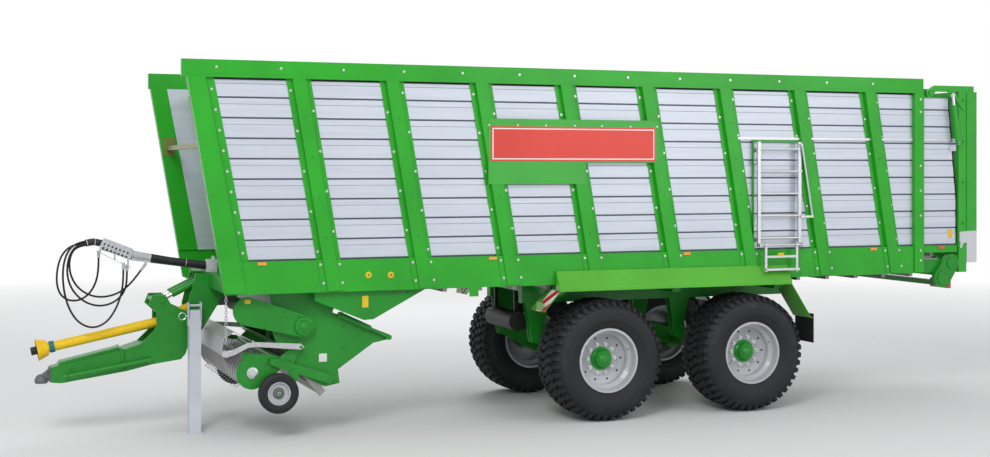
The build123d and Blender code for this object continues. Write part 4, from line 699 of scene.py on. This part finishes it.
# road tyres: carcass and tread
roadTyre = {
    "radius": 0.6655, "track": 1.075, "blocks": 44, "blockHeight": 0.030,
    # half profile from the middle of the tread to the bead and back inside: sideways, radius
    "profile": [
        (0.0, 0.640), (0.150, 0.637), (0.215, 0.629), (0.252, 0.612), (0.276, 0.588), (0.288, 0.562),
        (0.290, 0.556), (0.2935, 0.552), (0.2985, 0.515), (0.3000, 0.480), (0.2975, 0.448),
        (0.2940, 0.436), (0.2870, 0.430), (0.2830, 0.416), (0.2700, 0.386), (0.2560, 0.366),
        (0.2460, 0.357), (0.2460, 0.3365), (0.2100, 0.3365), (0.2450, 0.430), (0.2500, 0.520),
        (0.2250, 0.590), (0.0, 0.610),
    ],
    # each row: sideways, radius less, length, width, slant, tilt, phase
    "rows": [
        (-0.050, 0.000, 0.066, 0.082, 0.40, 0.0, 0.0), (0.050, 0.000, 0.066, 0.082, 0.40, 0.0, 0.5),
        (-0.136, 0.003, 0.068, 0.078, -0.34, 0.05, 0.25),
        (0.136, 0.003, 0.068, 0.078, -0.34, -0.05, 0.75), (-0.225, 0.014, 0.058, 0.090, 0.16, 0.30, 0.55),
        (0.225, 0.014, 0.058, 0.090, 0.16, -0.30, 0.05), (-0.274, 0.046, 0.046, 0.062, 0.0, 1.02, 0.60),
        (0.274, 0.046, 0.046, 0.062, 0.0, -1.02, 0.10),
    ],
}
roadWheels = {"%s_%s" % (axle, sideName): (axle, side)
              for axle in ("front", "rear") for sideName, side in sides.items()}
for wheelName, (axle, side) in roadWheels.items():
    body = "wheel_" + wheelName
    centre = (roadWheel[axle], side * roadTyre["track"], roadWheel["height"])
    half = roadTyre["profile"]
    ring = half + [(-sideways, radius) for sideways, radius in reversed(half[1:-1])]
    carcass = Shape()
    carcass.turned(ring, centre, (0.0, 1.0, 0.0), 96, closed=True)
    tyre = carcass.done("tyre_" + wheelName + "_carcass", "rubber" + axle.title(), body, 40.0)
    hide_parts("tyre_" + wheelName)
    for number, (sideways, less, length, width, slant, tilt, phase) in enumerate(roadTyre["rows"]):
        tread = grow("tread_%s_%d" % (wheelName, number), treadPlan, {
            "Count": roadTyre["blocks"], "Radius": roadTyre["radius"] - less, "Side": sideways,
            "Length": length, "Width": width, "Height": roadTyre["blockHeight"], "Slant": slant,
            "Tilt": tilt, "Phase": phase, "Centre": centre}, "tyreRubber", body, smoothTo=20.0)
        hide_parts("tyre_" + wheelName)
print("tyres made")

# wheel bolts, black discs as painted shade in the hand holes, hub caps and valves
wheelTrim = {
    "bolts": 10, "boltRing": 0.165, "boltFace": 1.1190, "valve": (0.27, 1.20, 0.10),
    "holeRing": 0.236, "holeSize": 0.012, "holeDepth": 0.0022, "holeFace": 1.1262, "holeTilt": 0.22,
    "cap": [(-0.01, 0.0), (-0.01, 0.066), (0.014, 0.066), (0.020, 0.060), (0.020, 0.052), (0.032, 0.040),
            (0.036, 0.022), (0.037, 0.0)], "capFace": 1.195,
}
for wheelName, (axle, side) in roadWheels.items():
    body = "wheel_" + wheelName
    wheelX, wheelZ = roadWheel[axle], roadWheel["height"]
    nuts = []
    holeShade = Shape()
    for number in range(wheelTrim["bolts"]):
        turn = math.tau * (number + 0.5) / wheelTrim["bolts"]
        x, z = math.sin(turn), math.cos(turn)
        nuts.append(((wheelX + wheelTrim["boltRing"] * x, side * wheelTrim["boltFace"],
                      wheelZ + wheelTrim["boltRing"] * z), (0.0, side, 0.0)))
        middle = (wheelX + wheelTrim["holeRing"] * x, side * wheelTrim["holeFace"],
                  wheelZ + wheelTrim["holeRing"] * z)
        tilt = (-wheelTrim["holeTilt"] * x, side, -wheelTrim["holeTilt"] * z)
        # a thin black disc on each hand hole: painted shade where the hole is
        holeShade.disc(wheelTrim["holeSize"], wheelTrim["holeDepth"], middle, tilt, 18)
    boltsAt("wheel_nuts_" + wheelName, nuts, 0.016, 0.022, 4, "boltZinc", body)
    holeShade.done("hand_holes_" + wheelName, "satinBlack", body)
    cap = Shape()
    cap.turned(wheelTrim["cap"], (wheelX, side * wheelTrim["capFace"], wheelZ), (0.0, side, 0.0), 40)
    cap.done("hub_cap_" + wheelName, "frameGreen", body)
    valve = Shape()
    ahead, outward, up = wheelTrim["valve"]
    valve.turned([(0.0, 0.0), (0.0, 0.007), (0.035, 0.006), (0.035, 0.0)],
                 (wheelX + ahead, side * outward, wheelZ + up), (0.2, side * 0.9, 0.1), 12)
    valve.done("valve_" + wheelName, "boltZinc", body)
print("wheels trimmed")

# bolts of the side walls
wallBolts = {
    "posts": 8, "firstPost": -2.985, "pitch": 0.988, "flange": 0.100, "planks": 9, "onPlank": 0.42,
    # bolts of the corner post: x at the rail, and the post's widening for each metre down
    "cornerX": -3.8856, "cornerWidens": 0.04 / 2.153,
    "beamRows": (1.60, 1.79), "railX": -3.82, "railPitch": 0.65, "railCount": 13, "railZ": 3.775,
    "rearX": 4.655, "rearRows": (1.66, 1.78, 3.60, 3.45, 2.2, 2.5, 2.8),
    # how far out the faces lie under the bolts
    "plankFace": 1.2112, "beamFace": 1.2442, "railFace": 1.2382, "rearFace": 1.2582, "postFace": 1.2576,
    # what lies over the left wall: x from and to, z from and to
    "door": (2.31, 2.99, 0.0, 3.10), "sign": (-1.0, 1.15, 2.55, 3.35),
}


def leanX(atRail, z):
    # x at height z of a line that leans as the posts do and meets the rail at atRail
    return atRail + (wall["rail"] - z) * wall["lean"]


def postX(post, z):
    return leanX(wallBolts["firstPost"] + post * wallBolts["pitch"], z)


def covered(side, x, z, covers):
    boxes = [wallBolts[cover] for cover in covers]
    return side < 0 and any(front < x < back and low < z < high for front, back, low, high in boxes)


for sideName, side in sides.items():
    bolts = []
    for plank in range(wallBolts["planks"]):
        z = wall["plankLow"] + (plank + wallBolts["onPlank"]) * wall["plankPitch"]
        cornerAt = wallBolts["cornerX"] + wallBolts["cornerWidens"] * (wall["rail"] - z)
        bolts.append((leanX(cornerAt, z), wallBolts["plankFace"], z))
        for post in range(wallBolts["posts"]):
            x = postX(post, z) + wallBolts["flange"] * (1 if (plank + post) % 2 else -1)
            if not covered(side, x, z, ["door"]):
                bolts.append((x, wallBolts["plankFace"], z))
    for post in range(wallBolts["posts"]):
        for z in wallBolts["beamRows"]:
            for shift in (-wallBolts["flange"], wallBolts["flange"]):
                bolts.append((postX(post, z) + shift, wallBolts["beamFace"], z))
    for step in range(wallBolts["railCount"]):
        x = wallBolts["railX"] + step * wallBolts["railPitch"]
        bolts.append((x, wallBolts["railFace"], wallBolts["railZ"]))
    for z in wallBolts["rearRows"]:
        bolts.append((wallBolts["rearX"], wallBolts["rearFace"], z))
    places = [((x, side * face, z), (0.0, side, 0.0)) for x, face, z in bolts]
    boltsAt("wall_bolts_" + sideName, places, 0.0085, 0.008, 7, "boltZinc", "wagon")


def ySpan(side, near, far):
    # a span on one side of the wagon, lower end first
    return sorted((side * near, side * far))


# black strip under the rail as painted shadow of the rail's overhang, silver bars in line with the door's
# top, seal of the tailgate
wallTrim = {
    "strip": (-3.93, 4.57), "stripY": (1.2045, 1.2085), "stripZ": (3.655, 3.6745),
    "seal": [(5.226, 1.86), (5.236, 1.86), (5.236, 2.42), (5.119, 3.58), (5.109, 3.58), (5.226, 2.42)],
    "sealY": (1.166, 1.2035),
    "bars": ((2.128, 2.972), (3.112, 3.960), (4.100, 4.572), (4.706, 5.150)),
    "barY": (1.2045, 1.2290), "barZ": (3.100, 3.128), "barEdge": 0.003,
}
strips, bars = Shape(), Shape()
for side in sides.values():
    # painted shadow: a thin black strip along the underside of the rail
    strips.block(wallTrim["strip"], ySpan(side, *wallTrim["stripY"]), wallTrim["stripZ"])
    strips.prism(wallTrim["seal"], *ySpan(side, *wallTrim["sealY"]))
    for bar in wallTrim["bars"]:
        bars.block(bar, ySpan(side, *wallTrim["barY"]), wallTrim["barZ"], wallTrim["barEdge"])
strips.done("rail_shadow_and_tail_seal", "flapRubber", "wagon")
bars.done("wall_bars", "aluminium", "wagon")
print("walls trimmed")

# blank labels and the striped marker
labels = {
    # name: finish, body, x span, y, z span
    "tail_label": ("labelYellow", "wagon", (5.105, 5.165), -1.2052, (1.92, 2.03)),
    "gusset_label": ("labelYellow", "wagon", (-2.30, -2.235), -1.1652, (1.33, 1.45)),
    "housing_label": ("labelWhite", "wagon", (-2.71, -2.625), -0.9752, (0.765, 0.85)),
    "step_label": ("labelYellow", "step", (2.60, 2.68), -1.3402, (1.765, 1.80)),
    "gate_label": ("labelYellow", "tail", (5.38, 5.44), -1.2002, (1.90, 1.99)),
    "case_label": ("labelYellow", "wagon", (-3.50, -3.44), -1.0552, (1.40, 1.44)),
}
for labelName, (finish, body, xSpan, y, zSpan) in labels.items():
    label = Shape()
    label.block(xSpan, (y - 0.0012, y + 0.0005), zSpan)
    label.done(labelName, finish, body)


markers = {
    "outline": [(-0.3475, 1.2300), (-0.1530, 1.4445), (-0.1560, 1.4472), (-0.3505, 1.2327)],
    "y": (1.150, 1.368),
}
marker = Shape()
for side in sides.values():
    marker.prism(markers["outline"], *ySpan(side, *markers["y"]))
marker.done("striped_markers", "stripeMarker", "wagon")
print("labels and markers made")

# chain of the crop guard
guardChain = {"x": -3.700, "y": 1.110, "top": 1.505, "low": 0.985, "pitch": 0.030,
              "link": 0.020, "wire": 0.0038}
for sideName, side in sides.items():
    count = int((guardChain["top"] - guardChain["low"]) / guardChain["pitch"])
    row = [((guardChain["x"], side * guardChain["y"], guardChain["top"] - step * guardChain["pitch"]),
            (0.0, 0.0, 1.0)) for step in range(count)]
    grow("guard_chain_" + sideName, chainPlan, {"Link": guardChain["link"], "Wire": guardChain["wire"]},
         "zinc", "wagon", spots("chain" + sideName, row))

# cap of the chain case, hubs of the reel and the gauge wheels
driveTrim = {
    "caseCap": [(0.0, 0.0), (0.0, 0.092), (0.006, 0.092), (0.010, 0.082), (0.010, 0.070), (0.022, 0.058),
                (0.022, 0.046), (0.034, 0.034), (0.040, 0.018), (0.041, 0.0)],
    "caseSpot": (-2.890, -1.0725, 1.150),
    "reelHub": [(0.0, 0.0), (0.0, 0.060), (0.008, 0.058), (0.012, 0.040), (0.026, 0.036), (0.028, 0.0)],
    "reelSpot": (-3.409, 0.9950, 0.688),
    "gaugeHub": [(-0.004, 0.0), (-0.004, 0.040), (0.010, 0.040), (0.016, 0.036), (0.018, 0.024),
                 (0.030, 0.022), (0.036, 0.014), (0.038, 0.0)],
    "gaugeY": 1.1120, "gaugeRing": 0.098, "gaugeWire": 0.0035,
}
caps = Shape()
caps.turned(driveTrim["caseCap"], driveTrim["caseSpot"], (0.0, -1.0, 0.0), 40)
caps.done("case_cap", "frameGreen", "wagon")
for sideName, side in sides.items():
    reelX, reelY, reelZ = driveTrim["reelSpot"]
    hubs = Shape()
    hubs.turned(driveTrim["reelHub"], (reelX, side * reelY, reelZ), (0.0, side, 0.0), 32)
    hubs.done("reel_hub_" + sideName, "boltZinc", "pickup")
    gauge = Shape()
    gaugeSpot = (gaugeWheel["x"], side * driveTrim["gaugeY"], gaugeWheel["z"])
    gauge.turned(driveTrim["gaugeHub"], gaugeSpot, (0.0, side, 0.0), 36)
    gauge.ring(gaugeSpot, (0.0, 1.0, 0.0), driveTrim["gaugeRing"], driveTrim["gaugeWire"], 48)
    gauge.done("gauge_hub_" + sideName, "rimSilver", "gauge_wheel_" + sideName)
print("drives trimmed")

# yellow plugs of the beam, rivets of the sign, ring pin of the jack
smallTrim = {
    "plugs": ((-2.254, 1.671), (-2.013, 1.665)), "plugY": -1.2372,
    "plug": [(0.0, 0.012), (0.0, 0.034), (0.005, 0.034), (0.009, 0.028), (0.009, 0.012)],
    "rivets": (-0.93, -0.60, -0.27, 0.0745, 0.40, 0.75, 1.08), "rivetY": -1.2620, "rivetZ": 3.232,
    "ringAt": (-4.005, -0.335, 1.225), "pinFrom": (-3.975, -0.335, 1.225),
}
rings = Shape()
for x, z in smallTrim["plugs"]:
    rings.turned(smallTrim["plug"], (x, smallTrim["plugY"], z), (0.0, -1.0, 0.0), 30, closed=True)
rings.done("beam_plugs", "labelYellow", "wagon")
rivets = [((x, smallTrim["rivetY"], smallTrim["rivetZ"]), (0.0, -1.0, 0.0)) for x in smallTrim["rivets"]]
boltsAt("sign_rivets", rivets, 0.006, 0.005, 3, "boltZinc", "wagon")
ringPin = Shape()
ringPin.ring(smallTrim["ringAt"], (0.0, 1.0, 0.0), 0.036, 0.005, 30)
ringPin.disc(0.008, 0.10, smallTrim["pinFrom"], (1.0, 0.0, 0.0), 14)
ringPin.done("jack_ring_pin", "boltZinc", "jack")


def seatOn(nodeName, side, places):
    # finds the outer face of a node at each (x, z) place, seen from one side
    tree = BVHTree.FromObject(nodes[nodeName], bpy.context.evaluated_depsgraph_get())
    seats = []
    for x, z in places:
        spot, normal = tree.ray_cast(Vector((x, side * 3.0, z)), Vector((0.0, -side, 0.0)))[:2]
        if spot is not None and abs(normal.y) > 0.9:
            seats.append((tuple(spot), (0.0, side, 0.0)))
    return seats


seatedBolts = {
    # node: body, bolt radius, (x, z) places
    "drive_case": ("wagon", 0.008, (
        (-3.52, 1.385), (-3.30, 1.372), (-3.08, 1.300), (-2.95, 1.255), (-3.54, 1.20), (-3.30, 1.150),
        (-3.10, 1.090), (-2.98, 1.060), (-2.82, 1.215), (-2.80, 1.090),
    )),
    "rotor_housing": ("wagon", 0.0096, (
        (-2.86, 0.96), (-2.62, 0.62), (-2.45, 0.90), (-2.30, 1.02), (-2.18, 1.16), (-2.50, 1.30),
        (-2.30, 1.28), (-2.70, 1.46), (-2.50, 1.50), (-3.05, 1.52), (-2.95, 0.90), (-2.45, 1.12),
    )),
    "pickup_frame": ("pickup", 0.0096, (
        (-3.409, 0.84), (-3.27, 0.77), (-3.27, 0.61), (-3.409, 0.535), (-3.54, 0.62), (-3.54, 0.76),
        (-3.02, 0.80), (-2.82, 0.74), (-2.66, 0.70),
    )),
    "drawbar": ("hitch", 0.0104, (
        (-3.84, 1.20), (-3.84, 1.05), (-3.84, 0.90), (-4.18, 1.32), (-4.10, 0.80), (-4.75, 0.78),
        (-4.95, 0.74), (-5.10, 0.70),
    )),
    "chassis": ("wagon", 0.0096, (
        (-2.62, 1.46), (-2.48, 1.46), (-1.95, 1.47), (-1.80, 1.47), (-1.55, 1.48),
    )),
    "tailgate": ("tail", 0.0088, ((5.30, 2.10), (5.30, 2.60), (5.30, 3.10), (5.30, 3.60))),
    "mudguards": ("wagon", 0.0064, ((0.2, 1.505), (0.9, 1.505), (1.6, 1.505), (2.3, 1.505), (-0.1, 1.505))),
}
for nodeName, (body, boltRadius, places) in seatedBolts.items():
    for sideName, side in sides.items():
        seats = seatOn(nodeName, side, places)
        if seats:
            boltsAt("bolts_%s_%s" % (nodeName, sideName), seats, boltRadius, 0.009, 5, "frameGreen", body)

# plugged holes down the middle of each post
for sideName, side in sides.items():
    plugged = []
    for post in range(wallBolts["posts"]):
        for plank in range(1, wallBolts["planks"], 2):
            z = wall["plankLow"] + (plank + 0.1) * wall["plankPitch"]
            x = postX(post, z)
            if not covered(side, x, z, ["door", "sign"]):
                plugged.append(((x, side * wallBolts["postFace"], z), (0.0, side, 0.0)))
    boltsAt("post_plugs_" + sideName, plugged, 0.0075, 0.002, 9, "frameGreen", "wagon")

# punched holes of the hose bracket, each with a black disc as painted shade, and the ties round the bundle;
# along and down are in x and z
bracket = {
    "corner": (-4.785, 2.022), "along": (0.924, -0.382), "down": (-0.335, -0.942), "y": -0.1512,
    "first": (0.025, 0.030), "pitch": 0.042, "columns": 7, "rows": 2,
    "ties": (((-4.945, -0.110, 2.000), (-0.97, 0.0, -0.22)), ((-4.865, -0.110, 2.0105), (-1.0, 0.0, 0.10)),
             ((-4.30, -0.110, 1.8345), (-0.98, 0.0, 0.19)), ((-3.93, -0.110, 1.7735), (-0.99, 0.0, 0.14))),
}
holeShade = Shape()
for column in range(bracket["columns"]):
    for row in range(bracket["rows"]):
        across = bracket["first"][0] + column * bracket["pitch"]
        drop = bracket["first"][1] + row * bracket["pitch"]
        x, z = (corner + across * along + drop * down for corner, along, down in zip(
            bracket["corner"], bracket["along"], bracket["down"]))
        # a thin black disc in each punched hole: painted shade
        holeShade.turned([(0.0, 0.0), (0.0, 0.011), (0.0015, 0.010), (0.0015, 0.0)], (x, bracket["y"], z),
                     (0.0, -1.0, 0.0), 16)
holeShade.done("bracket_hole_shade", "satinBlack", "wagon")
ties = Shape()
for middle, axis in bracket["ties"]:
    ties.ring(middle, axis, 0.0375, 0.0028, 30)
ties.done("bundle_ties", "labelWhite", "wagon")
print("fittings added")

# floor, light
floorLook = {"size": 90.0, "fade": (9.0, 22.0)}


def floorFinish():
    # pale floor that keeps the shadow near the wagon and turns into the white background further out
    finish = Finish("paleFloor", Roughness=0.85)
    far = ((finish.x ** 2.0 + finish.y ** 2.0) ** 0.5).ramp(*floorLook["fade"])
    rays = finish.node("ShaderNodeLightPath")
    seen = finish.signal(rays.outputs["Is Camera Ray"]) + finish.signal(rays.outputs["Is Glossy Ray"])
    glow = finish.node("ShaderNodeEmission", {"Color": tint(1.0, 1.0, 1.0), "Strength": 1.0})
    finish.shader.inputs["Base Color"].default_value = tint(0.80, 0.80, 0.80)
    share = (far * seen).ramp(0.0, 1.0)
    both = finish.node("ShaderNodeMixShader", {0: share, 1: finish.shader.outputs[0], 2: glow.outputs[0]})
    finish.feed(finish.output.inputs["Surface"], both.outputs[0])


floorFinish()
floorMesh = bpy.data.meshes.new("floor")
reach = floorLook["size"]
corners = [(-reach, -reach, 0), (reach, -reach, 0), (reach, reach, 0), (-reach, reach, 0)]
floorMesh.from_pydata(corners, [], [(0, 1, 2, 3)])
floorMesh.materials.append(finishes["paleFloor"])
floor = bpy.data.objects.new("floor", floorMesh)
floor.location.z = -0.0005
scene.collection.objects.link(floor)


class Sky(NodeTree):
    def __init__(self, world):
        self.tree = world.node_tree


world = bpy.data.worlds.new("studio")
world.use_nodes = True
world.node_tree.nodes.clear()
scene.world = world
sky = Sky(world)
rays = sky.node("ShaderNodeLightPath")
shown = sky.signal(rays.outputs["Is Camera Ray"]) + sky.signal(rays.outputs["Is Glossy Ray"]) + sky.signal(
    rays.outputs["Is Transmission Ray"])
white = sky.node("ShaderNodeBackground", {"Color": tint(1.0, 1.0, 1.0), "Strength": 1.0})
soft = sky.node("ShaderNodeBackground", {"Color": tint(0.95, 0.97, 1.0), "Strength": 0.56})
choice = sky.node("ShaderNodeMixShader",
                  {0: shown.ramp(0.0, 1.0), 1: soft.outputs[0], 2: white.outputs[0]})
sky.node("ShaderNodeOutputWorld", {"Surface": choice.outputs[0]})

studioLights = {
    # name: place, power, size
    "keyLight": ((-9.0, -13.0, 11.0), 1350.0, 6.0),
    "fillLight": ((7.0, -12.0, 6.0), 360.0, 8.0),
    "rimLight": ((3.0, 12.0, 10.0), 700.0, 8.0),
}
for lightName, (place, power, size) in studioLights.items():
    lamp = bpy.data.lights.new(lightName, "AREA")
    lamp.energy = power
    lamp.size = size
    holder = bpy.data.objects.new(lightName, lamp)
    holder.location = place
    holder.rotation_euler = (Vector((0.0, 0.0, 1.5)) - Vector(place)).to_track_quat("-Z", "Y").to_euler()
    scene.collection.objects.link(holder)
scene.view_settings.view_transform = "Standard"
print("floor and lights set")
